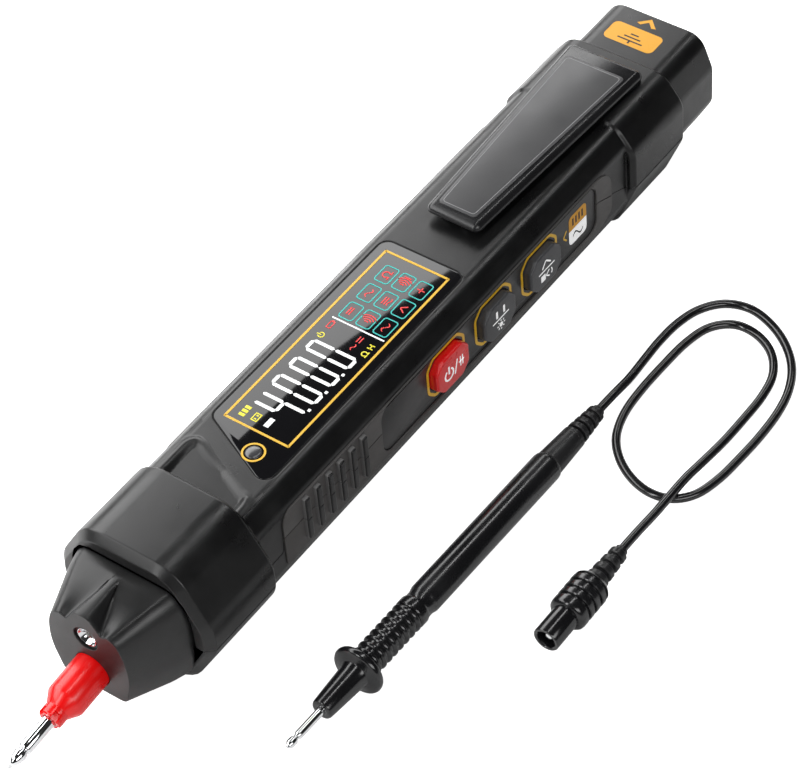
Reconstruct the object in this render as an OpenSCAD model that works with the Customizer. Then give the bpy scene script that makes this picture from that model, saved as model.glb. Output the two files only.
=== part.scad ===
// Pen multimeter with its test lead, lying on its back.
// X runs from the needle to the tail, +Z is the display side, and the keys face -Y.
// The bench is the plane Z = 0, and the pen is centred on X and Y. Lengths are in millimetres.

/* [Barrel] */
// Length of the barrel between the collar and the rear block
barrel_len = 121.4; // [118:0.1:132]
// Width of the barrel
barrel_w = 28; // [27.6:0.1:30]
// Height of the display face above the bench
barrel_top = 27.6; // [27.2:0.1:29]
// Height of the barrel's underside above the bench
barrel_base = 3.2; // [2.6:0.1:3.6]
// Thickness of the housing walls
wall = 1.8; // [1.6:0.05:2]
// Height of the parting line along the barrel
parting_z = 17.7; // [17.2:0.1:18.1]
// Height of the parting line in the collar
collar_parting_z = 14; // [13:0.1:15]
// Height of the parting line in the rear block
block_parting_z = 13.4; // [12.6:0.1:15]

/* [Collar and nose] */
// Length of the collar behind the nose
collar_len = 20; // [18:0.1:22]
// Width of the collar
collar_w = 35.4; // [34:0.1:38]
// Height of the collar's top above the bench
collar_top = 31.2; // [30:0.1:33]
// Length of the nose cone outside the collar
nose_len = 12.8; // [11:0.1:16]
// Width of the nose cone where it leaves the collar
nose_w = 27.6; // [26:0.1:28]
// Width of the flat face of the nose
face_w = 18.2; // [17:0.1:20]
// Height of the flat face's lower edge above the bench
face_low_z = 6.6; // [5.6:0.1:7]

/* [Probe] */
// Angle by which the probe points down
probe_droop = 6; // [3:0.5:7]
// Height of the probe's axis at the nose face
probe_z = 11.6; // [11:0.1:12.4]
// Diameter of the red probe holder
holder_d = 7.7; // [7:0.1:8.2]
// Length of the red holder outside the nose
holder_len = 8; // [7:0.1:12]
// Length of the slope between the holder and its cap
slope_len = 2; // [1.5:0.1:3]
// Diameter of the small notched cap
cap_d = 4.8; // [4.2:0.1:5.2]
// Length of the small notched cap
cap_len = 2.4; // [2:0.1:4]
// Diameter of the probe needle
needle_d = 2.8; // [2.2:0.1:3]
// Length of the needle outside the cap
needle_out = 11.8; // [9:0.1:20]

/* [Rear] */
// Length of the thicker block that carries the clip
block_len = 19.5; // [18:0.1:24]
// Width of the rear block
block_w = 31.8; // [31:0.1:34]
// Height of the rear block's top above the bench
block_top = 28.4; // [28:0.1:29.4]
// Length of the tail with the COM socket
tail_len = 14.8; // [13.5:0.1:20]
// Width of the tail
tail_w = 27; // [25:0.1:29]
// Height of the tail's top above the bench
tail_top = 27.2; // [26:0.1:28.2]
// Diameter of the recess that takes the plug's shroud
socket_d = 5.7; // [5.6:0.05:6.4]
// Bore of the COM socket's contact sleeve
sleeve_bore = 2.06; // [2.04:0.02:2.3]

/* [Clip] */
// Length of the clip
clip_len = 55.5; // [48:0.5:60]
// Width of the clip at its free end
clip_tip_w = 12.6; // [11:0.1:14]
// Width of the clip at its root
clip_root_w = 18; // [16:0.1:20]
// Thickness of the clip's arm
clip_t = 2; // [1.6:0.1:2.6]
// Height of the gap between the clip and the barrel
clip_gap = 1.8; // [1.6:0.1:2.4]

/* [Display] */
// Length of the window between its gold lines
window_len = 50.8; // [44:0.1:51.4]
// Width of the window between its gold lines
window_w = 14.6; // [13:0.1:15]
// Distance from the rear block to the window's near end
window_back = 52.2; // [51:0.1:54]
// Thickness of the display lens
lens_t = 0.9; // [0.7:0.05:1]
// Width of the display lens
lens_w = 19.6; // [18.8:0.1:20]
// Diameter of the indicator lamp
lamp_d = 3; // [2.6:0.1:3.4]

/* [Keys] */
// Length of a key along the pen
key_len = 10.6; // [9:0.1:11.2]
// Height of a key
key_h = 8.6; // [8:0.1:9.2]
// Distance from one key to the next
key_pitch = 15.9; // [15.2:0.1:16.4]
// How far a key stands out of the side panel
key_out = 1.8; // [1.4:0.1:2.4]
// Travel of a key
key_travel = 0.4; // [0.3:0.05:0.45]
// Distance from the rear block to the middle of the nearest key
key_back = 31.4; // [30:0.1:33]
// Thickness of the side panel
panel_t = 0.6; // [0.5:0.05:0.8]

/* [Cells] */
// Diameter of an AAA cell
cell_d = 10.5; // [10:0.05:10.5]
// Length of an AAA cell without its button
cell_len = 43.7; // [42:0.1:44]
// Length of the cell bay
bay_len = 51.2; // [50.4:0.1:53]

/* [Test lead] */
// Diameter of the lead's cord
cord_d = 1.8; // [1.6:0.05:2]
// Diameter of the lead's barrel
lead_d = 6.4; // [6:0.1:7.4]
// Length of the lead's barrel
lead_barrel_len = 45.9; // [40:0.1:50]
// Length of the ribbed grip
lead_grip_len = 14; // [12:0.1:16]
// Number of ribs on the grip
lead_ribs = 8; // [5:1:9]
// Diameter of the finger guard
guard_d = 10.6; // [9.6:0.1:11.4]
// Diameter of the plug's body
plug_d = 7.7; // [7:0.1:8.4]
// Outer diameter of the plug's shroud
shroud_d = 5.4; // [5:0.05:5.5]
// Diameter of the plug's pin
pin_d = 2; // [1.8:0.02:2]

/* [Hidden] */

// Shared clearances and small sizes
fit = 0.1;
bore_fit = 0.02;
overrun = 1;
sliver = 0.02;
arc_steps = 5;
round_fn = 48;
least_r = 1;

// Stations along the pen
probe_reach = holder_len + slope_len + cap_len + needle_out;
total_len = tail_len + block_len + barrel_len + collar_len + nose_len + probe_reach * cos(probe_droop);
tail_x = total_len / 2;
block_rear_x = tail_x - tail_len;
block_front_x = block_rear_x - block_len;
collar_rear_x = block_front_x - barrel_len;
collar_front_x = collar_rear_x - collar_len;
nose_face_x = collar_front_x - nose_len;

// Sections: half width, top, base, inward and downward run of the shoulder, inward and upward run of
// the hip, and corner radius
barrel_shoulder = [3, 3.7];
barrel_hip = [2.8, 6.2];
barrel_r = 3.2;
collar_shoulder = [7.4, 12.2];
collar_hip = [7.4, 13];
collar_r = 8;
block_shoulder = [4.7, 6];
block_hip = [5.4, 13];
block_r = 5.2;
tail_shoulder = [2.9, 7.5];
tail_hip = [4.6, 8.4];
tail_r = 4.4;
tail_base = 2.4;
nose_base = 2.6;
nose_top_drop = 4.2;
barrel_form = [barrel_w / 2, barrel_top, barrel_base, barrel_shoulder, barrel_hip, barrel_r];
collar_form = [collar_w / 2, collar_top, 0, collar_shoulder, collar_hip, collar_r];
block_form = [block_w / 2, block_top, 0, block_shoulder, block_hip, block_r];
tail_form = [tail_w / 2, tail_top, tail_base, tail_shoulder, tail_hip, tail_r];
nose_top = collar_top - nose_top_drop;

// Housing details
collar_wall = 2.2;
lip_wall = 3.4;
lip_bevel = 1.6;
end_bevel = 0.9;
tail_bevel = 0.5;
end_wall = 2;
side_y = -barrel_w / 2;
inner_y = side_y + wall;
inner_top = barrel_top - wall;
inner_base = barrel_base + wall;
neck_len = 6;
neck_step = 0.8;
parting_run = 10.5;

// Thumb ramp between the collar and the display lens
ramp_len = 11.9;
ramp_w = 17.5;
ramp_depth = 1;
ramp_skew = 7;

// Grip ribs on the near side
rib_count = 6;
rib_pitch = 3.55;
rib_w = 1.3;
rib_h = 10.4;
rib_out = 0.5;
rib_first = 13.1;

// Display
window_x0 = block_front_x - window_back - window_len;
window_x1 = window_x0 + window_len;
lens_margin = 2.9;
lens_near = 1.6;
lens_skew = 8.9;
lens_r = 2.4;
lamp_back = 4.6;
lamp_y = -2.8;
lamp_rise = 0.35;
lcd_t = 3;
lcd_margin = 1.4;
lcd_lip = 1;

// Main board
board_t = 1.2;
board_z = 19.4;
board_w = barrel_w - 6;
board_front = 4;
board_rear = 6;
board_x0 = collar_rear_x + board_front;
board_x1 = block_front_x - board_rear;

// Keys, counted from the one nearest the tail
key_drop = 0.2;
key_z = parting_z - key_drop;
key_cut_share = 0.26;
key_flange = 0.7;
key_flange_t = 0.5;
key_fit = 0.12;
switch_gap = 0.05;
switch_len = 4.5;
switch_h = 3.4;
switch_t = 1;
key_board_t = 0.6;
key_board_len = 46;
key_board_low = key_z - key_h / 2 - key_flange + fit;
panel_back = 11.4;
panel_len = 72.8;
panel_low = 11.2;
panel_high = 23.4;
panel_r = 3;
flange_in = inner_y + key_flange_t;
switch_y = flange_in + key_travel + switch_gap;
key_board_y = switch_y + switch_t;

// Cells
bay_x1 = block_front_x - 7.8;
bay_x0 = bay_x1 - bay_len;
bay_wall = 1.5;
cell_gap = 0.05;
cell_side = 0.2;
cell_y0 = key_board_y + key_board_t + cell_side + cell_d / 2;
cell_y1 = cell_y0 + cell_d + cell_gap;
cell_z = inner_base + fit + cell_d / 2;
contact_t = 0.4;
contact_size = 8;
cell_button_len = 0.8;
cell_button_d = 3.8;
cell_x0 = bay_x0 + contact_t + cell_button_len;
spring_wire = 0.6;
spring_turns = 4;
spring_wide = 3.4;
spring_narrow = 2;

// Battery cover
cover_top = 7.8;
cover_tail = 6.2;
cover_screw_back = 3.8;
cover_boss_d = 4.8;
cover_boss_top = 12;

// Screws
screw_d = 2;
screw_head_d = 3.8;
screw_head_t = 1.4;
screw_seat_z = 6;
screw_len = 14;
boss_d = 5;
boss_y = 8.5;
rear_boss_y = 8.5;
front_boss_back = 7.4;
rear_boss_front = 8;
cover_screw_len = 6;
cover_screw_seat = 4.4;
screw_slot_w = 0.6;
screw_slot_depth = 0.5;

// Nose and flashlight
flange_t = 2;
led_z = 20.4;
reflector_d = 4;
reflector_depth = 3;
led_d = 2.4;
led_len = 4.4;
led_board_t = 0.8;
led_board_size = 7;
crest_z = nose_top;
spigot_d = 5.6;
spigot_len = 9;
seat_depth = 3;
terminal_d = 4.4;
terminal_len = 4.5;
terminal_gap = 1;
spigot_in = 0.3;

// Nose outline, half from the bottom to the top, as shares of the half width and of the height
base_y_shares = [0, 0.5, 0.66, 0.8, 0.93, 1, 1, 0.98, 0.9, 0.78, 0.62, 0.09, 0.06, 0.03, 0];
base_z_shares = [0, 0, 0.03, 0.13, 0.3, 0.46, 0.62, 0.74, 0.88, 0.97, 1, 1, 1, 1, 1];
face_y_shares = [0, 0.44, 0.77, 0.89, 0.98, 1, 0.97, 0.9, 0.81, 0.69, 0.58, 0.49, 0.37, 0.2, 0];
face_z_shares = [0, 0, 0.02, 0.15, 0.31, 0.46, 0.61, 0.73, 0.81, 0.85, 0.85, 0.85, 0.92, 0.99, 1];
flute_start_share = 0.25;
flute_points = 4;

// COM socket in the tail
socket_z = 15;
insulator_d = 9;
insulator_len = 13;
socket_depth = 8;
sleeve_d = 3.3;
sleeve_len = 16;
strip_t = 0.5;
strip_w = 2.4;

// Clip
clip_bottom = barrel_top + clip_gap;
clip_x1 = block_rear_x - 4.5;
clip_x0 = clip_x1 - clip_len;
clip_r = 1.6;
clip_recess = 0.3;
clip_rim = 1.5;
foot_len = 6;
foot_w = 11;
foot_back = 0.6;
foot_fit = 0.3;
hook_len = 2;
hook_out = 1;
hook_t = 1.2;
hook_gap = 0.3;
shoulder_len = 5;
tooth_len = 1.2;
tooth_w = 1.6;
tooth_y = 2.2;
tooth_gap = 0.15;

// Sensing strip, buzzer and other inner parts
strip_plate_t = 0.4;
strip_plate_w = 9;
buzzer_d = 12;
buzzer_t = 2.5;
buzzer_x = collar_rear_x + 25.4;

// Test lead: its lengths, counted from the needle's point
lead_yaw = -0.2;
lead_needle_out = 10;
lead_needle_d = 1.7;
lead_cone_len = 10.4;
lead_cone_tip_d = 4.3;
lead_cone_d = 5.8;
guard_t = 2.2;
lead_relief_len = 17.2;
grip_depth = 0.45;
lead_neck_d = 5;
relief_ribs = 5;
relief_gap = 0.9;
bore_d = 1.9;
lead_needle_in = 24;
lead_guard_s = lead_needle_out + lead_cone_len;
lead_grip_s = lead_guard_s + guard_t;
lead_barrel_s = lead_grip_s + lead_grip_len;
lead_relief_s = lead_barrel_s + lead_barrel_len;
lead_end_s = lead_relief_s + lead_relief_len;

// The lead lies on its guard and on the rear of its barrel
lead_end_y = -37.4;
lead_end_x = 25.7;
lead_pitch = atan((guard_d - lead_d) / 2 / (lead_relief_s - lead_grip_s));
lead_end_z = lead_d / 2 - lead_relief_len * tan(lead_pitch) + bore_fit;
lead_end = [lead_end_x, lead_end_y, lead_end_z];

// Plug: the front end of its shroud and its lengths, counted from there
plug_x = -27.8;
plug_y = -61;
plug_rise = 0.05;
shroud_len = 6.5;
plug_body_len = 9.7;
plug_relief_len = 9.2;
plug_grooves = 4;
groove_depth = 0.5;
shroud_bore = 3.9;
pin_out_short = 0.8;
plug_axis_z = plug_d / 2 + plug_rise;
plug_end_x = plug_x + shroud_len + plug_body_len + plug_relief_len;

// Cord route, from the lead's strain relief to the plug's
cord_route = [lead_end, [31, -37.4, 2.3], [37, -37.2, 1.4], [43, -36.7, 0.9], [49, -36.5, 0.9],
    [55, -36.9, 0.9], [60.5, -38.5, 0.9], [64.7, -42, 0.9], [66.2, -47.2, 0.9], [64.6, -53, 0.9],
    [61.2, -58.3, 0.9], [56.6, -62.4, 0.9], [51, -65, 0.9], [45, -66.2, 0.9], [38, -66.5, 0.9],
    [31, -66.2, 0.9], [24.5, -65.6, 0.9], [18.8, -64, 0.9], [15.4, -60.8, 0.9], [14.4, -56.4, 0.9],
    [15.6, -51.5, 0.9], [18.6, -46.8, 0.9], [23, -43.2, 0.9], [29, -41.2, 0.9], [36, -40.6, 0.9],
    [44, -40.7, 0.9], [51.5, -41.2, 0.9], [57.4, -42.9, 0.9], [60.8, -46.8, 0.9], [60.7, -52, 0.9],
    [57.9, -56.9, 0.9], [53, -60.2, 0.9], [47, -61.4, 0.9], [40, -61.5, 0.9], [33, -61.4, 1.1],
    [26, -61.2, 1.9], [20, -61, 2.7], [14.5, -61, 2.95], [9, -61, 3.1], [4, -61, 3.6],
    [0, -61, 3.85], [plug_end_x, plug_y, plug_axis_z]];
cord_sides = 8;
cord_steps = 2;

// Colours
black_plastic = "#1c1c1e";
soft_black = "#26262a";
dark_grey = "#3a3b3e";
key_grey = "#3c3e42";
signal_red = "#d8141c";
steel = "#c9ccd0";
brass = "#c9a24a";
board_green = "#1f6b3f";

// Outline helpers
function unit(v) = v / norm(v);
function corner_arc(before, at, after, r) =
    let (back = unit(before - at))
    let (on = unit(after - at))
    let (half = acos(back * on) / 2)
    let (centre = at + unit(back + on) * r / sin(half))
    let (start = at + back * r / tan(half) - centre)
    let (stop = at + on * r / tan(half) - centre)
    let (a0 = atan2(start[1], start[0]))
    let (turn = (atan2(stop[1], stop[0]) - a0 + 540) % 360 - 180)
    [for (i = [0:arc_steps]) centre + r * [cos(a0 + turn * i / arc_steps), sin(a0 + turn * i / arc_steps)]];
function rounded(path, r) =
    let (n = len(path))
    [for (i = [0:n - 1]) each corner_arc(path[(i + n - 1) % n], path[i], path[(i + 1) % n], r)];
// A section drawn in by the same amount on every side
function outline(form, inset) =
    let (side = form[0] - inset)
    let (top = form[1] - inset)
    let (base = form[2] + inset)
    let (s = form[3])
    let (h = form[4])
    let (s_turn = atan2(s[0], s[1]))
    let (h_turn = atan2(h[0], h[1]))
    let (low = form[2] + h[1] + inset * tan(h_turn / 2))
    let (high = form[1] - s[1] - inset * tan(s_turn / 2))
    let (base_y = form[0] - h[0] - inset * tan(45 - h_turn / 2))
    let (top_y = form[0] - s[0] - inset * tan(45 - s_turn / 2))
    rounded([[-base_y, base], [base_y, base], [side, low], [side, high], [top_y, top], [-top_y, top],
        [-side, high], [-side, low]], max(form[5] - inset, least_r));
function octagon(length, height, cut) = [[cut - length / 2, -height / 2], [length / 2 - cut, -height / 2],
    [length / 2, cut - height / 2], [length / 2, height / 2 - cut], [length / 2 - cut, height / 2],
    [cut - length / 2, height / 2], [-length / 2, height / 2 - cut], [-length / 2, cut - height / 2]];

// Places an extrusion along X, along Y or upwards
module along(x0, x1, points) {
    translate([x0, 0, 0])
        rotate([90, 0, 90])
            linear_extrude(height = x1 - x0)
                polygon(points);
}
module across(y0, y1, points) {
    translate([0, y1, 0])
        rotate([90, 0, 0])
            linear_extrude(height = y1 - y0)
                polygon(points);
}
module upward(z0, z1, points) {
    translate([0, 0, z0])
        linear_extrude(height = z1 - z0)
            polygon(points);
}
module block(low, high) {
    translate(low)
        cube(high - low);
}
module rod_x(x0, x1, y, z, d) {
    translate([x0, y, z])
        rotate([0, 90, 0])
            cylinder(h = x1 - x0, d = d, $fn = round_fn);
}
module rod_z(x, y, z0, z1, d) {
    translate([x, y, z0])
        cylinder(h = z1 - z0, d = d, $fn = round_fn);
}
module turned(profile) {
    rotate([0, 90, 0])
        rotate_extrude($fn = round_fn)
            polygon(profile);
}

// A stretch of housing skin, with a bevel at each end
module stretch(x0, x1, form, front, rear) {
    along(x0 + front, x1 - rear, outline(form, 0));
    if (front > 0)
        hull() {
            along(x0, x0 + sliver, outline(form, front));
            along(x0 + front, x0 + front + sliver, outline(form, 0));
        }
    if (rear > 0)
        hull() {
            along(x1 - rear - sliver, x1 - rear, outline(form, 0));
            along(x1 - sliver, x1, outline(form, rear));
        }
}
module collar_and_barrel() {
    stretch(collar_front_x, collar_rear_x, collar_form, lip_bevel, end_bevel);
    along(collar_rear_x - end_bevel - overrun, block_front_x + end_bevel + overrun, outline(barrel_form, 0));
}
module rear_block() {
    stretch(block_front_x, block_rear_x, block_form, end_bevel, end_bevel);
}
module tail() {
    stretch(block_rear_x - end_bevel, tail_x, tail_form, 0, tail_bevel);
}
module hollow() {
    along(collar_front_x + lip_wall, collar_rear_x - wall, outline(collar_form, collar_wall));
    along(collar_rear_x - wall - overrun, block_front_x + wall + overrun, outline(barrel_form, wall));
    along(block_front_x + wall, block_rear_x - wall, outline(block_form, wall));
    along(block_rear_x - wall - overrun, tail_x - end_wall, outline(tail_form, wall));
}
parting_path = [[collar_front_x - overrun, collar_parting_z], [collar_rear_x + neck_len, collar_parting_z],
    [collar_rear_x + neck_len + neck_step, parting_z], [block_front_x - parting_run, parting_z],
    [block_front_x, block_parting_z], [block_rear_x - sliver, block_parting_z]];
module above_parting() {
    across(-collar_w, collar_w, concat(parting_path, [[block_rear_x - sliver, -overrun], [tail_x + overrun, -overrun],
        [tail_x + overrun, collar_top + overrun], [collar_front_x - overrun, collar_top + overrun]]));
}
module below_parting() {
    across(-collar_w, collar_w, concat(parting_path, [[block_rear_x - sliver, -overrun],
        [collar_front_x - overrun, -overrun]]));
}

// Cuts that both housings share
module nose_opening() {
    along(collar_front_x - overrun, collar_front_x + lip_wall + overrun, nose_ring(fit));
}
function key_x(i) = block_front_x - key_back - i * key_pitch;
module key_solid(i, grow, y0, y1) {
    translate([key_x(i), 0, key_z])
        across(y0, y1, octagon(key_len + 2 * grow, key_h + 2 * grow, key_cut_share * key_h));
}
module key_holes() {
    for (i = [0:2])
        key_solid(i, key_fit, side_y - overrun, inner_y + overrun);
}
module panel_shape(shrink, y0, y1) {
    x0 = block_front_x - panel_back - panel_len + shrink;
    x1 = block_front_x - panel_back - shrink;
    across(y0, y1, rounded([[x0, panel_low + shrink], [x1, panel_low + shrink], [x1, panel_high - shrink],
        [x0, panel_high - shrink]], panel_r - shrink));
}
module panel_recess() {
    panel_shape(0, side_y - overrun, side_y + panel_t);
}
module grip_ribs() {
    for (i = [0:rib_count - 1])
        translate([collar_rear_x + rib_first + i * rib_pitch, -(barrel_w / 2 + rib_out / 2), parting_z])
            cube([rib_w, rib_out + wall, rib_h], center = true);
}

// Places of the screws
front_boss_x = collar_rear_x - front_boss_back;
rear_boss_x = block_front_x + rear_boss_front;
screw_places = [[front_boss_x, -boss_y, collar_parting_z], [front_boss_x, boss_y, collar_parting_z],
    [rear_boss_x, -rear_boss_y, block_parting_z], [rear_boss_x, rear_boss_y, block_parting_z]];
boss_tops = [collar_top - collar_wall, collar_top - collar_wall, block_top - 2 * wall, block_top - 2 * wall];
boss_base = collar_wall;

// Outlines seen from above
function lens_shape(shrink) =
    let (near = window_x0 - lens_near + shrink)
    let (far = window_x1 + lens_margin - shrink)
    let (side = lens_w / 2 - shrink)
    rounded([[near - lens_skew, -side], [far, -side], [far, side], [near, side]], lens_r - shrink);
ramp_x0 = collar_rear_x;
function ramp_shape() =
    rounded([[ramp_x0 - overrun, -ramp_w / 2], [ramp_x0 + ramp_len - ramp_skew, -ramp_w / 2],
        [ramp_x0 + ramp_len, ramp_w / 2], [ramp_x0 - overrun, ramp_w / 2]], least_r);
lamp_x = window_x0 - lamp_back;

module thumb_ramp() {
    intersection() {
        upward(barrel_top - 2 * ramp_depth, barrel_top + overrun, ramp_shape());
        across(-ramp_w, ramp_w, [[ramp_x0 - overrun, barrel_top - ramp_depth],
            [ramp_x0 + ramp_len, barrel_top], [ramp_x0 + ramp_len, barrel_top + overrun],
            [ramp_x0 - overrun, barrel_top + overrun]]);
    }
}
foot_x1 = clip_x1 - foot_back;
foot_x0 = foot_x1 - foot_len;
hook_top = block_top - wall - hook_gap;

module upper_housing() {
    color(black_plastic)
        difference() {
            union() {
                intersection() {
                    difference() {
                        union() {
                            collar_and_barrel();
                            rear_block();
                            tail();
                        }
                        hollow();
                    }
                    above_parting();
                }
                for (i = [0:3])
                    rod_z(screw_places[i][0], screw_places[i][1], screw_places[i][2], boss_tops[i], boss_d);
                intersection() {
                    grip_ribs();
                    above_parting();
                }
                // Boss round the socket, inside the tail
                rod_x(tail_x - end_wall - insulator_len / 2, tail_x - end_wall, 0, socket_z,
                    insulator_d + 2 * wall);
            }
            nose_opening();
            for (p = screw_places)
                rod_z(p[0], p[1], p[2] - overrun, screw_seat_z + screw_len + overrun / 2, screw_d + 2 * bore_fit);
            upward(barrel_top - lens_t, barrel_top + overrun, lens_shape(0));
            block([window_x0, -window_w / 2, inner_top - overrun], [window_x1, window_w / 2, barrel_top]);
            rod_z(lamp_x, lamp_y, inner_top - overrun, barrel_top, lamp_d + 2 * fit);
            thumb_ramp();
            panel_recess();
            key_holes();
            block([foot_x0 - foot_fit, -foot_w / 2 - foot_fit, hook_top - hook_t],
                [foot_x1 + foot_fit, foot_w / 2 + foot_fit, block_top + overrun]);
            rod_x(tail_x - end_wall - insulator_len, tail_x + overrun, 0, socket_z, insulator_d + 2 * bore_fit);
        }
}

cover_x0 = bay_x0;
cover_x1 = bay_x1 + cover_tail;
cover_screw_x = bay_x1 + cover_screw_back;
module cover_room(shrink) {
    block([cover_x0 + shrink, -barrel_w, -overrun], [cover_x1 - shrink, barrel_w, cover_top - shrink]);
}

module lower_housing() {
    color(black_plastic)
        difference() {
            union() {
                intersection() {
                    difference() {
                        union() {
                            collar_and_barrel();
                            rear_block();
                        }
                        hollow();
                    }
                    below_parting();
                    // Leaves the battery opening free
                    difference() {
                        block([collar_front_x - overrun, -collar_w, -overrun], [tail_x, collar_w, parting_z]);
                        cover_room(0);
                    }
                }
                for (p = screw_places)
                    rod_z(p[0], p[1], boss_base, p[2], boss_d);
                intersection() {
                    grip_ribs();
                    below_parting();
                }
                // Walls at both ends of the cell bay, clear of the cover below and of the keys
                for (x = [bay_x0 - bay_wall, bay_x1])
                    difference() {
                        union() {
                            intersection() {
                                along(x, x + bay_wall, outline(barrel_form, wall + fit));
                                block([x, -barrel_w, 0], [x + bay_wall, barrel_w, cell_z + cell_d / 2]);
                            }
                            intersection() {
                                along(x, x + bay_wall, outline(barrel_form, wall / 2));
                                block([x, -barrel_w, cover_top + fit], [x + bay_wall, barrel_w, cell_z + cell_d / 2]);
                            }
                        }
                        block([x - overrun, -barrel_w, key_z - key_h / 2 - key_flange - 2 * fit],
                            [x + bay_wall + overrun, key_board_y + key_board_t + fit, board_z]);
                    }
                rod_z(cover_screw_x, 0, inner_base + fit, cover_boss_top, cover_boss_d);
            }
            nose_opening();
            for (p = screw_places) {
                rod_z(p[0], p[1], -overrun, screw_seat_z, screw_head_d + 4 * fit);
                rod_z(p[0], p[1], -overrun, p[2] + overrun, screw_d + 3 * fit);
            }
            rod_z(cover_screw_x, 0, 0, cover_screw_seat + cover_screw_len + overrun / 2, screw_d + 2 * bore_fit);
            panel_recess();
            key_holes();
        }
}

module battery_cover() {
    color(soft_black)
        difference() {
            intersection() {
                difference() {
                    along(cover_x0 + fit, cover_x1 - fit, outline(barrel_form, 0));
                    along(cover_x0 - overrun, cover_x1 + overrun, outline(barrel_form, wall));
                }
                cover_room(fit);
            }
            rod_z(cover_screw_x, 0, -overrun, cover_screw_seat, screw_head_d + 2 * fit);
            rod_z(cover_screw_x, 0, -overrun, inner_base + overrun, screw_d + 2 * fit);
        }
}

module screw(x, y, seat, length) {
    difference() {
        union() {
            rod_z(x, y, seat - screw_head_t, seat, screw_head_d);
            rod_z(x, y, seat, seat + length, screw_d);
        }
        for (turn = [0, 90])
            translate([x, y, seat - screw_head_t])
                rotate([0, 0, turn])
                    cube([screw_head_d * 0.7, screw_slot_w, 2 * screw_slot_depth], center = true);
    }
}
module battery_cover_screw() {
    color(steel)
        screw(cover_screw_x, 0, cover_screw_seat, cover_screw_len);
}
module housing_screws() {
    color(steel)
        for (p = screw_places)
            screw(p[0], p[1], screw_seat_z, screw_len);
}

// The nose: a loft from the collar to the flat face, with two flutes beside a middle ridge
half_count = len(base_y_shares);
ring_count = 2 * half_count - 2;
function mirrored(k) = k < half_count ? k : ring_count - k;
function nose_point(k, t) =
    let (m = mirrored(k))
    let (hand = k < half_count ? 1 : -1)
    let (held = m >= half_count - flute_points && t <= flute_start_share)
    let (share = held ? 0 : t)
    let (y = base_y_shares[m] * nose_w / 2 * (1 - share) + face_y_shares[m] * face_w / 2 * share)
    let (z0 = nose_base + base_z_shares[m] * (nose_top - nose_base))
    let (z1 = face_low_z + face_z_shares[m] * (crest_z - face_low_z))
    [collar_front_x - t * nose_len, hand * y, z0 * (1 - share) + z1 * share];
nose_steps = [0, flute_start_share, 1];
nose_mid_z = (nose_top + nose_base) / 2;
nose_half_h = (nose_top - nose_base) / 2;
function nose_ring(grow) = [for (k = [0:ring_count - 1])
    let (p = nose_point(k, 0))
    [p[1] * (1 + 2 * grow / nose_w), nose_mid_z + (p[2] - nose_mid_z) * (1 + grow / nose_half_h)]];
// The rings run from the spigot's rear end, over the step at the collar, to the flat face
nose_rings = len(nose_steps) + 2;
function nose_ring_point(i, k) =
    let (p = nose_point(k, nose_steps[max(i - 2, 0)]))
    i >= 2 ? p : [collar_front_x + (i == 0 ? lip_wall + flange_t / 2 : 0), nose_ring(-spigot_in)[k][0],
        nose_ring(-spigot_in)[k][1]];
module nose_loft() {
    points = [for (i = [0:nose_rings - 1], k = [0:ring_count - 1]) nose_ring_point(i, k)];
    sides = [for (s = [0:nose_rings - 2], k = [0:ring_count - 1])
        let (a = s * ring_count)
        let (b = a + ring_count)
        let (n = (k + 1) % ring_count)
        each [[a + k, b + n, b + k], [a + k, a + n, b + n]]];
    last = (nose_rings - 1) * ring_count;
    front = [for (k = [0:ring_count - 1]) last + k];
    back = [for (k = [0:ring_count - 1]) ring_count - 1 - k];
    polyhedron(points = points, faces = concat(sides, [front, back]));
}

// Puts a piece on the probe's axis: its own +X runs along the probe, towards the point
module on_probe() {
    translate([nose_face_x, 0, probe_z])
        rotate([0, -probe_droop, 0])
            mirror([1, 0, 0])
                children();
}

module nose_cone() {
    color(black_plastic)
        difference() {
            union() {
                nose_loft();
                along(collar_front_x + lip_wall, collar_front_x + lip_wall + flange_t,
                    outline(collar_form, collar_wall + fit));
            }
            on_probe() {
                rod_x(-seat_depth, overrun, 0, 0, holder_d + 2 * bore_fit);
                rod_x(-3 * spigot_len, overrun, 0, 0, spigot_d + 2 * bore_fit);
            }
            rod_x(nose_face_x - overrun, nose_face_x + reflector_depth, 0, led_z, reflector_d + 2 * bore_fit);
            rod_x(nose_face_x - overrun, nose_face_x + led_len + overrun, 0, led_z, led_d + 2 * fit);
            block([nose_face_x + led_len, -led_board_size / 2 - fit, led_z - led_d],
                [collar_front_x + lip_wall + 2 * flange_t, led_board_size / 2 + fit, led_z + led_d + fit]);
            // Slot for the tab of the probe's terminal, open to the rear
            block([nose_face_x + spigot_len + terminal_len - 2 * strip_t - fit, -strip_w / 2 - fit, probe_z],
                [collar_front_x + lip_wall + 2 * flange_t, strip_w / 2 + fit, led_z - led_d / 2]);
        }
}

rim_x = holder_len;
slope_x = rim_x + slope_len;
cap_x = slope_x + cap_len;
module probe_holder() {
    color(signal_red)
        on_probe()
            difference() {
                turned([[0, -spigot_len], [spigot_d / 2, -spigot_len], [spigot_d / 2, -seat_depth],
                    [holder_d / 2, -seat_depth], [holder_d / 2, rim_x], [cap_d / 2, slope_x],
                    [cap_d / 2, cap_x], [0, cap_x]]);
                rod_x(-spigot_len - overrun, cap_x + overrun, 0, 0, needle_d - 2 * needle_step + 2 * bore_fit);
                // Four shallow notches in the cap
                for (turn = [45:90:315])
                    rotate([turn, 0, 0])
                        translate([cap_x, cap_d / 2, 0])
                            cube([cap_len, cap_d / 4, cap_d / 4], center = true);
            }
}

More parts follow.
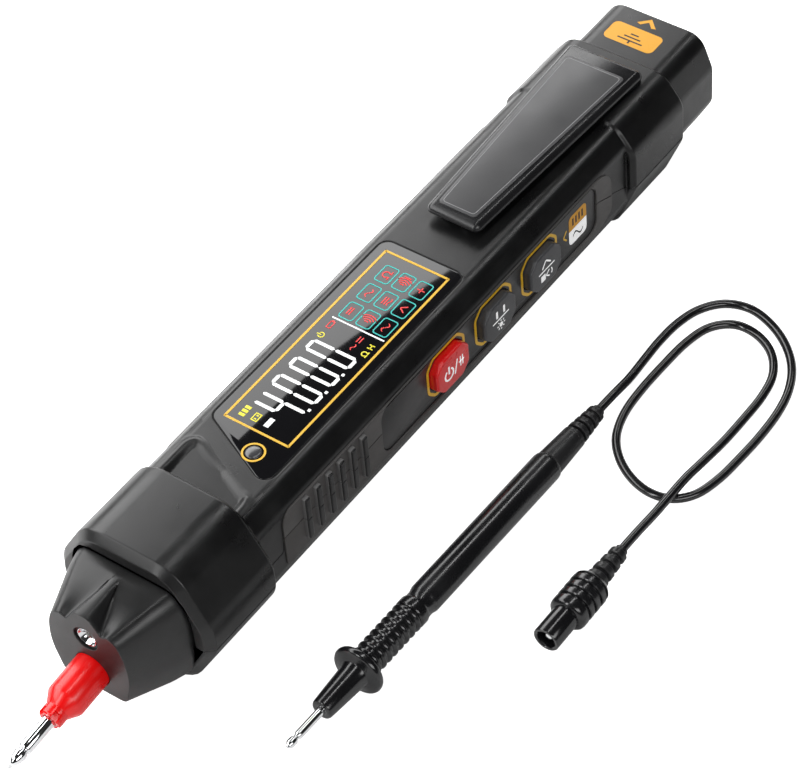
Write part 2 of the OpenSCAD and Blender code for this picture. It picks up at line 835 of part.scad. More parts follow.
needle_neck = 0.6;
needle_step = 0.7;
tab_lift = 0.6;
point_len = 4;
point_x = cap_x + needle_out;
needle_back = spigot_len + terminal_gap + terminal_len;
module probe_needle() {
    color(steel)
        on_probe()
            turned([[0, -needle_back], [needle_d / 2 - needle_step, -needle_back],
                [needle_d / 2 - needle_step, cap_x], [needle_d / 2, cap_x],
                [needle_d / 2, point_x - point_len - needle_neck],
                [needle_d * 0.36, point_x - point_len - needle_neck * 0.6], [needle_d * 0.36, point_x - point_len],
                [needle_d / 2, point_x - point_len + needle_neck], [0, point_x]]);
}

module probe_terminal() {
    color(brass)
        difference() {
            union() {
                on_probe()
                    rod_x(-spigot_len - terminal_len, -spigot_len, 0, 0, terminal_d);
                // Tab that reaches back and up to the main board
                block([nose_face_x + spigot_len + terminal_len - 2 * strip_t, -strip_w / 2,
                    probe_z + needle_d - 2 * needle_step + tab_lift],
                    [nose_face_x + spigot_len + terminal_len - strip_t, strip_w / 2, board_z - strip_t]);
                block([nose_face_x + spigot_len + terminal_len - 2 * strip_t, -strip_w / 2, board_z - 2 * strip_t],
                    [board_x0 + 2 * strip_w, strip_w / 2, board_z - strip_t]);
                block([board_x0, -strip_w / 2, board_z - 2 * strip_t], [board_x0 + 2 * strip_w, strip_w / 2, board_z]);
            }
            on_probe()
                rod_x(-needle_back - overrun, overrun, 0, 0, needle_d - 2 * needle_step + 2 * bore_fit);
        }
}

module flashlight_reflector() {
    color(steel)
        difference() {
            rod_x(nose_face_x, nose_face_x + reflector_depth, 0, led_z, reflector_d);
            translate([nose_face_x - bore_fit, 0, led_z])
                rotate([0, 90, 0])
                    cylinder(h = reflector_depth / 2, d1 = reflector_d - 2 * fit, d2 = led_d + 2 * fit, $fn = round_fn);
            rod_x(nose_face_x - overrun, nose_face_x + reflector_depth + overrun, 0, led_z, led_d + 2 * fit);
        }
}
led_tip = 0.4;
module flashlight_led() {
    color("white")
        translate([nose_face_x + led_tip, 0, led_z])
            turned([[0, 0], [led_d * 0.3, led_tip / 4], [led_d / 2, led_tip * 2], [led_d / 2, led_len], [0, led_len]]);
}
module flashlight_board() {
    color(board_green)
        block([nose_face_x + led_tip + led_len, -led_board_size / 2, led_z - led_d + fit],
            [nose_face_x + led_tip + led_len + led_board_t, led_board_size / 2, led_z + led_d]);
}
module sensing_strip() {
    color(brass)
        block([collar_front_x + lip_wall + flange_t + 1, -strip_plate_w / 2, board_z + board_t],
            [board_x0 + 2 * strip_w, strip_plate_w / 2, board_z + board_t + strip_plate_t]);
}

module display_lens() {
    color("#0b0c10")
        difference() {
            upward(barrel_top - lens_t, barrel_top, lens_shape(fit));
            rod_z(lamp_x, lamp_y, barrel_top - 2 * lens_t, barrel_top + overrun, lamp_d + 2 * fit);
        }
}
module lcd_panel() {
    color("#101418")
        block([window_x0 - lcd_margin, -window_w / 2 - lcd_margin, inner_top - lcd_t],
            [window_x1 + lcd_margin, window_w / 2 + lcd_margin, inner_top]);
}
module backlight_tray() {
    color("white")
        block([window_x0 - lcd_margin - lcd_lip, -window_w / 2 - lcd_margin - lcd_lip / 2, board_z + board_t],
            [window_x1 + lcd_margin + lcd_lip, window_w / 2 + lcd_margin + lcd_lip / 2, inner_top - lcd_t]);
}
module indicator_lamp() {
    color("#8f9296")
        translate([lamp_x, lamp_y, 0])
            rotate_extrude($fn = round_fn)
                polygon([[0, board_z + board_t], [lamp_d / 2, board_z + board_t], [lamp_d / 2, barrel_top],
                    [lamp_d * 0.36, barrel_top + lamp_rise * 0.7], [lamp_d * 0.18, barrel_top + lamp_rise * 0.93],
                    [0, barrel_top + lamp_rise]]);
}

module side_panel() {
    color(dark_grey)
        difference() {
            intersection() {
                panel_shape(fit / 2, side_y, side_y + panel_t);
                along(collar_rear_x, block_front_x, outline(barrel_form, 0));
            }
            key_holes();
        }
}
module key(i) {
    key_solid(i, 0, side_y - key_out, inner_y + sliver);
    key_solid(i, key_flange, inner_y, inner_y + key_flange_t);
}
module power_key() {
    color(signal_red)
        key(2);
}
module hold_key() {
    color(key_grey)
        key(1);
}
module select_key() {
    color(key_grey)
        key(0);
}
module key_board() {
    x = key_x(1) - key_board_len / 2;
    color(board_green)
        block([x, key_board_y, key_board_low], [x + key_board_len, key_board_y + key_board_t, board_z]);
}
module tactile_switches() {
    color(steel)
        for (i = [0:2])
            block([key_x(i) - switch_len / 2, switch_y, key_z - switch_h / 2],
                [key_x(i) + switch_len / 2, switch_y + switch_t, key_z + switch_h / 2]);
}
module main_board() {
    color(board_green)
        block([board_x0, -board_w / 2, board_z], [board_x1, board_w / 2, board_z + board_t]);
}
module buzzer() {
    color(soft_black)
        rod_z(buzzer_x, 0, board_z - buzzer_t, board_z, buzzer_d);
}

module cell(y) {
    rod_x(cell_x0, cell_x0 + cell_len, y, cell_z, cell_d);
    rod_x(cell_x0 - cell_button_len, cell_x0 + overrun, y, cell_z, cell_button_d);
}
module aaa_cell_left() {
    color("#b98a3c")
        cell(cell_y1);
}
module aaa_cell_right() {
    color("#b98a3c")
        cell(cell_y0);
}
module cell_contacts() {
    color(steel)
        for (y = [cell_y0, cell_y1], x = [bay_x0, bay_x1 - contact_t])
            block([x, y - contact_size / 2, cell_z - contact_size / 2],
                [x + contact_t, y + contact_size / 2, cell_z + contact_size / 2]);
}

// A tube swept along points, each ring square to the run
function run_at(p, i) = unit(p[min(i + 1, len(p) - 1)] - p[max(i - 1, 0)]);
function ring_at(p, i, r, sides, up) =
    let (t = run_at(p, i))
    let (a = unit(cross(up, t)))
    let (b = cross(t, a))
    [for (k = [0:sides - 1]) p[i] + r * (a * cos(360 * k / sides) + b * sin(360 * k / sides))];
module tube(p, d, sides, up) {
    rings = len(p);
    points = [for (i = [0:rings - 1]) each ring_at(p, i, d / 2, sides, up)];
    walls = [for (i = [0:rings - 2], k = [0:sides - 1])
        let (n = (k + 1) % sides)
        let (a = i * sides)
        each [[a + k, a + sides + n, a + n], [a + k, a + sides + k, a + sides + n]]];
    start = [for (k = [0:sides - 1]) k];
    stop = [for (k = [0:sides - 1]) rings * sides - 1 - k];
    polyhedron(points = points, faces = concat(walls, [start, stop]));
}
coil_steps = 10;
spring_sides = 6;
module cell_springs() {
    x0 = cell_x0 + cell_len + spring_wire / 2 + fit;
    x1 = bay_x1 - contact_t - spring_wire / 2 - fit / 4;
    last = spring_turns * coil_steps;
    color(steel)
        for (y = [cell_y0, cell_y1])
            tube([for (i = [0:last])
                let (r = spring_narrow + (spring_wide - spring_narrow) * i / last)
                let (turn = 360 * i / coil_steps)
                [x0 + (x1 - x0) * i / last, y + r * cos(turn), cell_z + r * sin(turn)]],
                spring_wire, spring_sides, [1, 0, 0]);
}

module com_insulator() {
    color(soft_black)
        difference() {
            rod_x(tail_x - insulator_len, tail_x, 0, socket_z, insulator_d);
            rod_x(tail_x - socket_depth, tail_x + overrun, 0, socket_z, socket_d);
            rod_x(tail_x - 2 * insulator_len, tail_x, 0, socket_z, sleeve_d + 2 * bore_fit);
        }
}
sleeve_x1 = tail_x - 1;
module com_sleeve() {
    color(brass)
        difference() {
            rod_x(sleeve_x1 - sleeve_len, sleeve_x1, 0, socket_z, sleeve_d);
            rod_x(sleeve_x1 - sleeve_len + wall, sleeve_x1 + overrun, 0, socket_z, sleeve_bore);
        }
}
module com_strip() {
    x1 = sleeve_x1 - sleeve_len + wall;
    top = board_z;
    seat = socket_z + sleeve_d / 2;
    color(brass)
        across(-strip_w / 2, strip_w / 2, [[board_x1 - 2 * strip_w, top - strip_t], [x1 - strip_t, top - strip_t],
            [x1 - strip_t, seat], [x1, seat], [x1, top], [board_x1 - 2 * strip_w, top]]);
}

// The clip, with a shallow sunk field on its arm, a foot in the block and two teeth
function clip_shape(shrink) =
    rounded([[clip_x0 + shrink, -clip_tip_w / 2 + shrink], [clip_x1 - shrink, -clip_root_w / 2 + shrink],
        [clip_x1 - shrink, clip_root_w / 2 - shrink], [clip_x0 + shrink, clip_tip_w / 2 - shrink]],
        clip_r - shrink / 4);
module clip() {
    shoulder_low = block_top + fit;
    color(black_plastic)
        difference() {
            union() {
                upward(clip_bottom, clip_bottom + clip_t, clip_shape(0));
                intersection() {
                    upward(shoulder_low, clip_bottom + sliver, clip_shape(0));
                    block([clip_x1 - shoulder_len, -clip_root_w, 0], [clip_x1, clip_root_w, clip_bottom + clip_t]);
                }
                block([foot_x0, -foot_w / 2, hook_top - hook_t], [foot_x1, foot_w / 2, clip_bottom + sliver]);
                block([foot_x1 - hook_len, -foot_w / 2 - hook_out, hook_top - hook_t],
                    [foot_x1, foot_w / 2 + hook_out, hook_top]);
                for (side = [-1, 1])
                    block([clip_x0 + tooth_len, side * tooth_y - tooth_w / 2, barrel_top + tooth_gap],
                        [clip_x0 + 2 * tooth_len, side * tooth_y + tooth_w / 2, clip_bottom + sliver]);
            }
            intersection() {
                upward(clip_bottom + clip_t - clip_recess, clip_bottom + clip_t + overrun, clip_shape(clip_rim));
                block([clip_x0, -clip_root_w, 0],
                    [clip_x1 - shoulder_len, clip_root_w, 2 * (clip_bottom + clip_t)]);
            }
        }
}

// Puts a piece on the lead's axis: its own +X runs from the needle's point to the cord
module on_lead() {
    translate(lead_end)
        rotate([0, lead_pitch, lead_yaw])
            translate([-lead_end_s, 0, 0])
                children();
}
module lead_needle() {
    r = lead_needle_d / 2;
    blade = 2.2;
    color(steel)
        on_lead()
            turned([[0, 0], [r * 0.6, 0], [r * 1.1, blade / 2], [r, blade], [r * 0.6, blade + needle_neck],
                [r, blade + 2 * needle_neck], [r, lead_needle_out + lead_needle_in], [0, lead_needle_out + lead_needle_in]]);
}
module lead_guard() {
    s0 = lead_needle_out;
    s1 = lead_guard_s;
    color(soft_black)
        on_lead()
            turned([[lead_needle_d / 2 + bore_fit, s0], [lead_cone_tip_d / 2 - 0.4, s0], [lead_cone_tip_d / 2, s0 + 0.4],
                [lead_cone_d / 2, s1], [guard_d / 2 - 0.6, s1], [guard_d / 2, s1 + 0.5], [guard_d / 2, s1 + guard_t - 0.9],
                [guard_d / 2 - 0.5, s1 + guard_t - 0.3], [guard_d / 2 - 1.2, s1 + guard_t],
                [lead_needle_d / 2 + bore_fit, s1 + guard_t]]);
}
module lead_grip() {
    pitch = lead_grip_len / lead_ribs;
    r = lead_d / 2;
    ribs = [for (i = [0:lead_ribs - 1])
        let (s = lead_grip_s + i * pitch)
        each [[r - grip_depth, s], [r - grip_depth, s + pitch * 0.25], [r, s + pitch * 0.4], [r, s + pitch * 0.8]]];
    inner = lead_needle_d / 2 + bore_fit;
    color(soft_black)
        on_lead()
            turned(concat([[inner, lead_grip_s]], ribs, [[r - grip_depth, lead_barrel_s], [inner, lead_barrel_s]]));
}
module lead_barrel() {
    r = lead_d / 2;
    s0 = lead_barrel_s;
    s1 = lead_relief_s;
    inner = lead_needle_d / 2 + bore_fit;
    stop = lead_needle_out + lead_needle_in;
    color(soft_black)
        on_lead()
            turned([[inner, s0], [r - 0.25, s0], [r, s0 + 0.4], [r, s0 + 2], [r - 0.3, s0 + 2.6], [r - 0.3, s0 + 4],
                [r, s0 + 5], [r, s1 - 1], [r - 0.4, s1], [0, s1], [0, stop], [inner, stop]]);
}
// A slotted sleeve: rings joined by a thinner core
function relief_profile(s0, s1, r0, r1, ribs, core) =
    let (pitch = (s1 - s0) / ribs)
    concat([[0, s0]], [for (i = [0:ribs - 1])
        let (s = s0 + i * pitch)
        let (r = r0 + (r1 - r0) * i / ribs)
        each [[r, s], [r, s + pitch - relief_gap], [core, s + pitch - relief_gap], [core, s + pitch]]], [[0, s1]]);
module lead_strain_relief() {
    taper = lead_relief_len * 0.45;
    s1 = lead_relief_s + taper;
    color(soft_black)
        on_lead() {
            turned([[0, lead_relief_s], [lead_d / 2 - 0.4, lead_relief_s], [lead_neck_d / 2, s1], [0, s1]]);
            turned(relief_profile(s1 - sliver, lead_end_s, lead_neck_d / 2, cord_d * 0.95, relief_ribs, cord_d * 0.7));
        }
}

// The route's points joined by a smooth curve through them
function smooth_point(p, i, u) =
    let (a = p[max(i - 1, 0)])
    let (b = p[i])
    let (c = p[i + 1])
    let (d = p[min(i + 2, len(p) - 1)])
    0.5 * (2 * b + (c - a) * u + (2 * a - 5 * b + 4 * c - d) * u * u + (3 * b - a - 3 * c + d) * u * u * u);
function smooth(p, steps) = concat(
    [for (i = [0:len(p) - 2], k = [0:steps - 1]) smooth_point(p, i, k / steps)], [p[len(p) - 1]]);
module lead_cord() {
    color(soft_black)
        tube(smooth(cord_route, cord_steps), cord_d, cord_sides, [0, 0, 1]);
}

module on_plug() {
    translate([plug_x, plug_y, plug_axis_z])
        children();
}
plug_body_s = shroud_len;
plug_relief_s = plug_body_s + plug_body_len;
module plug_shroud() {
    color(black_plastic)
        on_plug()
            difference() {
                rod_x(0, plug_body_s, 0, 0, shroud_d);
                rod_x(-overrun, plug_body_s - overrun, 0, 0, shroud_bore);
            }
}
module plug_pin() {
    color(steel)
        on_plug()
            turned([[0, pin_out_short], [pin_d * 0.3, pin_out_short], [pin_d / 2, pin_out_short + pin_d / 4],
                [pin_d / 2, plug_body_s - overrun], [0, plug_body_s - overrun]]);
}
module plug_body() {
    r = plug_d / 2;
    pitch = (plug_body_len - 2 * overrun) / plug_grooves;
    rings = [for (i = [0:plug_grooves - 1])
        let (s = plug_body_s + overrun + i * pitch)
        each [[r, s], [r, s + pitch * 0.6], [r - groove_depth, s + pitch * 0.6], [r - groove_depth, s + pitch]]];
    color(soft_black)
        on_plug()
            turned(concat([[0, plug_body_s], [shroud_d / 2 + 0.3, plug_body_s]], rings,
                [[r - overrun, plug_relief_s], [0, plug_relief_s]]));
}
module plug_strain_relief() {
    color(soft_black)
        on_plug()
            turned(relief_profile(plug_relief_s, plug_relief_s + plug_relief_len, plug_d * 0.3, cord_d * 0.95,
                relief_ribs - 1, cord_d * 0.7));
}

upper_housing();
lower_housing();
battery_cover();
battery_cover_screw();
housing_screws();
nose_cone();
probe_holder();
probe_needle();
probe_terminal();
flashlight_reflector();
flashlight_led();
flashlight_board();
sensing_strip();
display_lens();
lcd_panel();
backlight_tray();
indicator_lamp();
side_panel();
power_key();
hold_key();
select_key();
key_board();
tactile_switches();
main_board();
buzzer();
aaa_cell_left();
aaa_cell_right();
cell_springs();
cell_contacts();
com_insulator();
com_sleeve();
com_strip();
clip();
lead_needle();
lead_guard();
lead_grip();
lead_barrel();
lead_strain_relief();
lead_cord();
plug_strain_relief();
plug_body();
plug_shroud();
plug_pin();
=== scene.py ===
import math
import bpy
from mathutils import Matrix, Vector


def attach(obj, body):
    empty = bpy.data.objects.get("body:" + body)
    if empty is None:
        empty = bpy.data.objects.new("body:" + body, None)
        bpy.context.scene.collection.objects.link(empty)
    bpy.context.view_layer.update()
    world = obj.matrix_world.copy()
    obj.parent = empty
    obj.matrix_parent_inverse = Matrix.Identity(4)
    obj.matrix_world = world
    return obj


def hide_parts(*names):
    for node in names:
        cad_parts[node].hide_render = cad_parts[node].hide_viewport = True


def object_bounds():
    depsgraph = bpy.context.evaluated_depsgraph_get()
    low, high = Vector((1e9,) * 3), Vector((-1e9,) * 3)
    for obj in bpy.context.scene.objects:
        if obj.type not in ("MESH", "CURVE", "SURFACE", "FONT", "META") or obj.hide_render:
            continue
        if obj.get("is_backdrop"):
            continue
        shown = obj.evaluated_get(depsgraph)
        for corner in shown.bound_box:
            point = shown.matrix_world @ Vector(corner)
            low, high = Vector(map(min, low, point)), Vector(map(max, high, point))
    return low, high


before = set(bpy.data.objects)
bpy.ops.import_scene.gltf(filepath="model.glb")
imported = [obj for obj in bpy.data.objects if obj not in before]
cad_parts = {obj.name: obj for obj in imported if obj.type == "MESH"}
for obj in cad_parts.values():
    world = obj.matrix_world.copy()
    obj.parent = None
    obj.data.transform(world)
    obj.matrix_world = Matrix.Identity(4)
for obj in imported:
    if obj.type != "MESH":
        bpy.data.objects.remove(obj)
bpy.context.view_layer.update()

# The camera looks down on the display from before the probe, where the photograph was taken.
# Its place was worked out from the straight edges of the barrel and the collar.
bpy.ops.object.select_all(action="DESELECT")
bpy.ops.object.camera_add()
camera = bpy.context.object
camera.name = "photo_camera"
camera.matrix_world = Matrix((
    (0.58314, 0.61996, -0.52497, -0.31023),
    (-0.80968, 0.39098, -0.43768, -0.26797),
    (-0.06609, 0.68029, 0.72996, 0.44759),
    (0.0, 0.0, 0.0, 1.0),
))
camera.data.lens = 139.37
camera.data.clip_start = 0.01
camera.data.clip_end = 20
bpy.context.scene.camera = camera

# The cord is stranded copper in soft black vinyl, moulded into a strain relief at each end.
# The photograph shows it from end to end, so its route is its whole length, lying on the bench.
MM = 0.001
cord_diameter = 1.8
cord_route = [
    (25.7, -37.4, 2.617), (31, -37.4, 2.3), (37, -37.2, 1.4), (43, -36.7, 0.9), (49, -36.5, 0.9),
    (55, -36.9, 0.9), (60.5, -38.5, 0.9), (64.7, -42, 0.9), (66.2, -47.2, 0.9), (64.6, -53, 0.9),
    (61.2, -58.3, 0.9), (56.6, -62.4, 0.9), (51, -65, 0.9), (45, -66.2, 0.9), (38, -66.5, 0.9),
    (31, -66.2, 0.9), (24.5, -65.6, 0.9), (18.8, -64, 0.9), (15.4, -60.8, 0.9), (14.4, -56.4, 0.9),
    (15.6, -51.5, 0.9), (18.6, -46.8, 0.9), (23, -43.2, 0.9), (29, -41.2, 0.9), (36, -40.6, 0.9),
    (44, -40.7, 0.9), (51.5, -41.2, 0.9), (57.4, -42.9, 0.9), (60.8, -46.8, 0.9), (60.7, -52, 0.9),
    (57.9, -56.9, 0.9), (53, -60.2, 0.9), (47, -61.4, 0.9), (40, -61.5, 0.9), (33, -61.4, 1.1),
    (26, -61.2, 1.9), (20, -61, 2.7), (14.5, -61, 2.95), (9, -61, 3.1), (4, -61, 3.6),
    (0, -61, 3.85), (-2.4, -61, 3.9),
]


def through(values, steps):
    """Values on a smooth curve through the given numbers or points."""
    result = []
    for i in range(len(values) - 1):
        a = values[max(i - 1, 0)]
        b = values[i]
        c = values[i + 1]
        d = values[min(i + 2, len(values) - 1)]
        for k in range(steps):
            u = k / steps
            bend = (c - a) * u + (2 * a - 5 * b + 4 * c - d) * u * u + (3 * b - a - 3 * c + d) * u ** 3
            result.append(b + 0.5 * bend)
    return result + [values[-1]]


cord_points = [point * MM for point in through([Vector(place) for place in cord_route], 5)]
cord_curve = bpy.data.curves.new("cord", "CURVE")
cord_curve.dimensions = "3D"
cord_line = cord_curve.splines.new("POLY")
cord_line.points.add(len(cord_points) - 1)
for point, place in zip(cord_line.points, cord_points):
    point.co = (*place, 1)
cord_curve.bevel_depth = cord_diameter / 2 * MM
cord_curve.bevel_resolution = 5
cord_curve.use_fill_caps = True
cord = bpy.data.objects.new("cord", cord_curve)
bpy.context.scene.collection.objects.link(cord)


def node_group(name, inputs, outputs):
    """An empty shader node group with its two end nodes."""
    group = bpy.data.node_groups.new(name, "ShaderNodeTree")
    for label, kind in inputs:
        group.interface.new_socket(name=label, in_out="INPUT", socket_type=kind)
    for label, kind in outputs:
        group.interface.new_socket(name=label, in_out="OUTPUT", socket_type=kind)
    return group, group.nodes.new("NodeGroupInput"), group.nodes.new("NodeGroupOutput")


def new_node(tree, kind, values, **settings):
    """A new shader node with these settings and input values."""
    node = tree.nodes.new(kind)
    for key, value in settings.items():
        setattr(node, key, value)
    for key, value in values.items():
        node.inputs[key].default_value = value
    return node


def wire(tree, *runs):
    """Links nodes. Each run names a node, its output, the next node and that one's input."""
    for start, output, stop, entry in runs:
        tree.links.new(start.outputs[output], stop.inputs[entry])


# Moulded grain: the fine spark-eroded texture of a plastic mould and the slow change of gloss
# that handling leaves on it. Every plastic, rubber and print here uses it at its own scale.
grain, grain_in, grain_out = node_group(
    "moulded grain",
    [("Coordinates", "NodeSocketVector"), ("Grain", "NodeSocketFloat")],
    [("Height", "NodeSocketFloat"), ("Gloss", "NodeSocketFloat"), ("Shade", "NodeSocketFloat")],
)
pits = new_node(grain, "ShaderNodeTexNoise", {"Detail": 3, "Roughness": 0.6})
patch_scale = new_node(grain, "ShaderNodeMath", {1: 0.035}, operation="MULTIPLY")
patches = new_node(grain, "ShaderNodeTexNoise", {"Detail": 4, "Roughness": 0.55})
shade_mix = new_node(grain, "ShaderNodeMix", {"Factor": 0.65})
wire(grain, (grain_in, "Coordinates", pits, "Vector"), (grain_in, "Coordinates", patches, "Vector"),
     (grain_in, "Grain", pits, "Scale"), (grain_in, "Grain", patch_scale, 0),
     (patch_scale, "Value", patches, "Scale"), (pits, "Fac", shade_mix, "A"),
     (patches, "Fac", shade_mix, "B"), (pits, "Fac", grain_out, "Height"),
     (patches, "Fac", grain_out, "Gloss"), (shade_mix, "Result", grain_out, "Shade"))


def finish(name, colour, roughness, grain_scale=2600, relief=0.25, mottle=0.18, spread=0.08, metallic=0.0,
           coat=0.0, stretch=(1, 1, 1), glow=0.0):
    """A material whose colour, gloss and surface follow the moulded grain."""
    material = bpy.data.materials.new(name)
    material.use_nodes = True
    tree = material.node_tree
    shader = tree.nodes["Principled BSDF"]
    coordinates = new_node(tree, "ShaderNodeTexCoord", {})
    mapping = new_node(tree, "ShaderNodeMapping", {"Scale": stretch})
    texture = new_node(tree, "ShaderNodeGroup", {"Grain": grain_scale}, node_tree=grain)
    dark = (*[c * (1 - mottle) for c in colour], 1)
    light = (*[min(c * (1 + mottle), 1) for c in colour], 1)
    tint = new_node(tree, "ShaderNodeMix", {6: dark, 7: light}, data_type="RGBA")
    gloss = new_node(tree, "ShaderNodeMapRange", {
        "From Min": 0.3, "From Max": 0.7, "To Min": max(roughness - spread, 0.02),
        "To Max": min(roughness + spread, 1)})
    bump = new_node(tree, "ShaderNodeBump", {"Strength": relief, "Distance": 0.00003})
    wire(tree, (coordinates, "Object", mapping, "Vector"), (mapping, "Vector", texture, "Coordinates"),
         (texture, "Shade", tint, "Factor"), (tint, 2, shader, "Base Color"),
         (texture, "Gloss", gloss, "Value"), (gloss, "Result", shader, "Roughness"),
         (texture, "Height", bump, "Height"), (bump, "Normal", shader, "Normal"))
    shader.inputs["Metallic"].default_value = metallic
    shader.inputs["Coat Weight"].default_value = coat
    shader.inputs["Coat Roughness"].default_value = 0.12
    if glow > 0:
        wire(tree, (tint, 2, shader, "Emission Color"))
        shader.inputs["Emission Strength"].default_value = glow
    return material


def pick(*objects):
    """Selects only these objects, the last of them active."""
    bpy.ops.object.select_all(action="DESELECT")
    for o in objects:
        o.select_set(True)
    bpy.context.view_layer.objects.active = objects[-1]


def added(operator, name, **settings):
    """The object that an add operator makes, under its own name."""
    bpy.ops.object.select_all(action="DESELECT")
    operator(**settings)
    piece = bpy.context.object
    piece.name = name
    piece.data.name = name
    return piece


def dress(piece, material, body, stands_for=(), crease=32):
    """Finishes a new piece: its material, its shading, its body and the nodes that it stands for."""
    piece.data.materials.clear()
    piece.data.materials.append(material)
    pick(piece)
    if piece.type == "MESH":
        bpy.ops.object.shade_smooth_by_angle(angle=math.radians(crease))
    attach(piece, body)
    if stands_for:
        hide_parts(*stands_for)
    return piece


cord_rubber = finish("cord_vinyl", (0.008, 0.008, 0.009), 0.2, grain_scale=3500, relief=0.1, coat=0.5)
dress(cord, cord_rubber, "test_lead", ["lead_cord"])

# The studio: a white floor that runs out to white for the camera and keeps the soft shadows,
# a wide soft lamp low over the far side, a smaller one on the key side, a narrow one in front
# and a thin strip overhead that draws the long edges.
floor_drop = 0.0001
floor = added(bpy.ops.mesh.primitive_plane_add, "floor", size=6, location=(0, 0, -floor_drop))
floor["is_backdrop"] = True
floor_white = bpy.data.materials.new("floor_white")
floor_white.use_nodes = True
floor_tree = floor_white.node_tree
floor_shader = floor_tree.nodes["Principled BSDF"]
floor_shader.inputs["Base Color"].default_value = (0.82, 0.82, 0.82, 1)
floor_shader.inputs["Roughness"].default_value = 0.9
floor_shader.inputs["Emission Color"].default_value = (1, 1, 1, 1)
floor_path = new_node(floor_tree, "ShaderNodeLightPath", {})
floor_mirrored = new_node(floor_tree, "ShaderNodeMath", {1: 0.04}, operation="MULTIPLY")
floor_seen = new_node(floor_tree, "ShaderNodeMath", {1: 0.92}, operation="MULTIPLY_ADD")
wire(floor_tree, (floor_path, "Is Glossy Ray", floor_mirrored, 0),
     (floor_path, "Is Camera Ray", floor_seen, 0), (floor_mirrored, "Value", floor_seen, 2),
     (floor_seen, "Value", floor_shader, "Emission Strength"))
floor.data.materials.append(floor_white)

world = bpy.data.worlds.new("studio")
bpy.context.scene.world = world
world.use_nodes = True
world_nodes = world.node_tree.nodes
world_nodes["Background"].inputs["Color"].default_value = (1, 1, 1, 1)
world_nodes["Background"].inputs["Strength"].default_value = 0.03


def soft_lamp(name, place, aim, width, height, power):
    """A rectangular soft lamp at a place, turned towards its aim."""
    lamp = added(bpy.ops.object.light_add, name, type="AREA", location=place)
    lamp.rotation_euler = (Vector(aim) - Vector(place)).to_track_quat("-Z", "Y").to_euler()
    lamp.data.shape = "RECTANGLE"
    lamp.data.size = width
    lamp.data.size_y = height
    lamp.data.energy = power
    return lamp


soft_lamp("far_lamp", (0.09, 0.26, 0.16), (0.09, 0.26, 0), 0.72, 0.35, 3.3)
soft_lamp("near_lamp", (-0.3, -0.6, 0.4), (-0.05, -0.02, 0), 0.6, 0.25, 2.0)
soft_lamp("front_lamp", (-0.6, 0.15, 0.4), (-0.05, 0, 0), 0.12, 0.5, 1.4)
soft_lamp("strip_lamp", (0.22, -0.06, 0.5), (0.22, -0.06, 0), 0.8, 0.04, 0.9)

bpy.context.scene.view_settings.view_transform = "Standard"

# The housing halves are moulded in black ABS with a fine satin texture, and the parting line
# between them runs along both sides. Four screws from below hold them together.
shell_black = finish("shell_satin", (0.006, 0.006, 0.0063), 0.33, grain_scale=3000, relief=0.35, mottle=0.2)
half_edge = 0.22


def edit(piece, mode="VERT", start="DESELECT"):
    """Opens a piece in edit mode with nothing selected, or with everything."""
    pick(piece)
    bpy.ops.object.mode_set(mode="EDIT")
    bpy.ops.mesh.select_mode(type=mode)
    bpy.ops.mesh.select_all(action=start)


def done():
    """Closes edit mode."""
    bpy.ops.object.mode_set(mode="OBJECT")


def apply_modifier(piece, kind, **settings):
    """Adds a modifier with these settings and applies it."""
    pick(piece)
    modifier = piece.modifiers.new(kind.lower(), kind)
    for key, value in settings.items():
        setattr(modifier, key, value)
    bpy.ops.object.modifier_apply(modifier=modifier.name)
    return piece


def soften(piece, edge, segments=2, angle=30, clamp=True, **settings):
    """Rounds the edges of a piece that turn by more than the angle."""
    return apply_modifier(piece, "BEVEL", width=edge * MM, segments=segments, limit_method="ANGLE",
                          angle_limit=math.radians(angle), use_clamp_overlap=clamp, **settings)


def moulded_copy(name, node, edge, segments=2, angle=28):
    """A copy of a CAD node's mesh with its loose triangles joined and its edges rounded."""
    piece = bpy.data.objects.new(name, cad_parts[node].data.copy())
    bpy.context.scene.collection.objects.link(piece)
    edit(piece, start="SELECT")
    bpy.ops.mesh.remove_doubles(threshold=0.000004)
    bpy.ops.mesh.dissolve_limited(angle_limit=math.radians(0.4))
    done()
    if edge > 0:
        soften(piece, edge, segments, angle, clamp=False, miter_outer="MITER_ARC")
    return piece


for name, node in (("upper_half", "upper_housing"), ("lower_half", "lower_housing")):
    housing = moulded_copy(name, node, half_edge)
    dress(housing, shell_black, "meter", [node])
    apply_modifier(housing, "WEIGHTED_NORMAL", keep_sharp=True)

# The side pads are the slightly raised matt faces of the grip, one on each half and each side.
# The near pads are open round the key panel, and all four follow the parting line.
pad_front = -42.8
pad_rear = 66.2
pad_low = 9.9
pad_high = 23.6
pad_out = 0.34
pad_gap = 0.09
pad_root = 0.35
parting_z = 17.7
parting_bend = 61.48
parting_fall = 4.3 / 10.5
barrel_side = 14.0
panel_front = -12.216
panel_rear = 60.584
panel_low = 11.2
panel_high = 23.4
panel_round = 3.0
pad_matt = finish("pad_matt", (0.075, 0.071, 0.069), 0.52, relief=0.5, mottle=0.14)


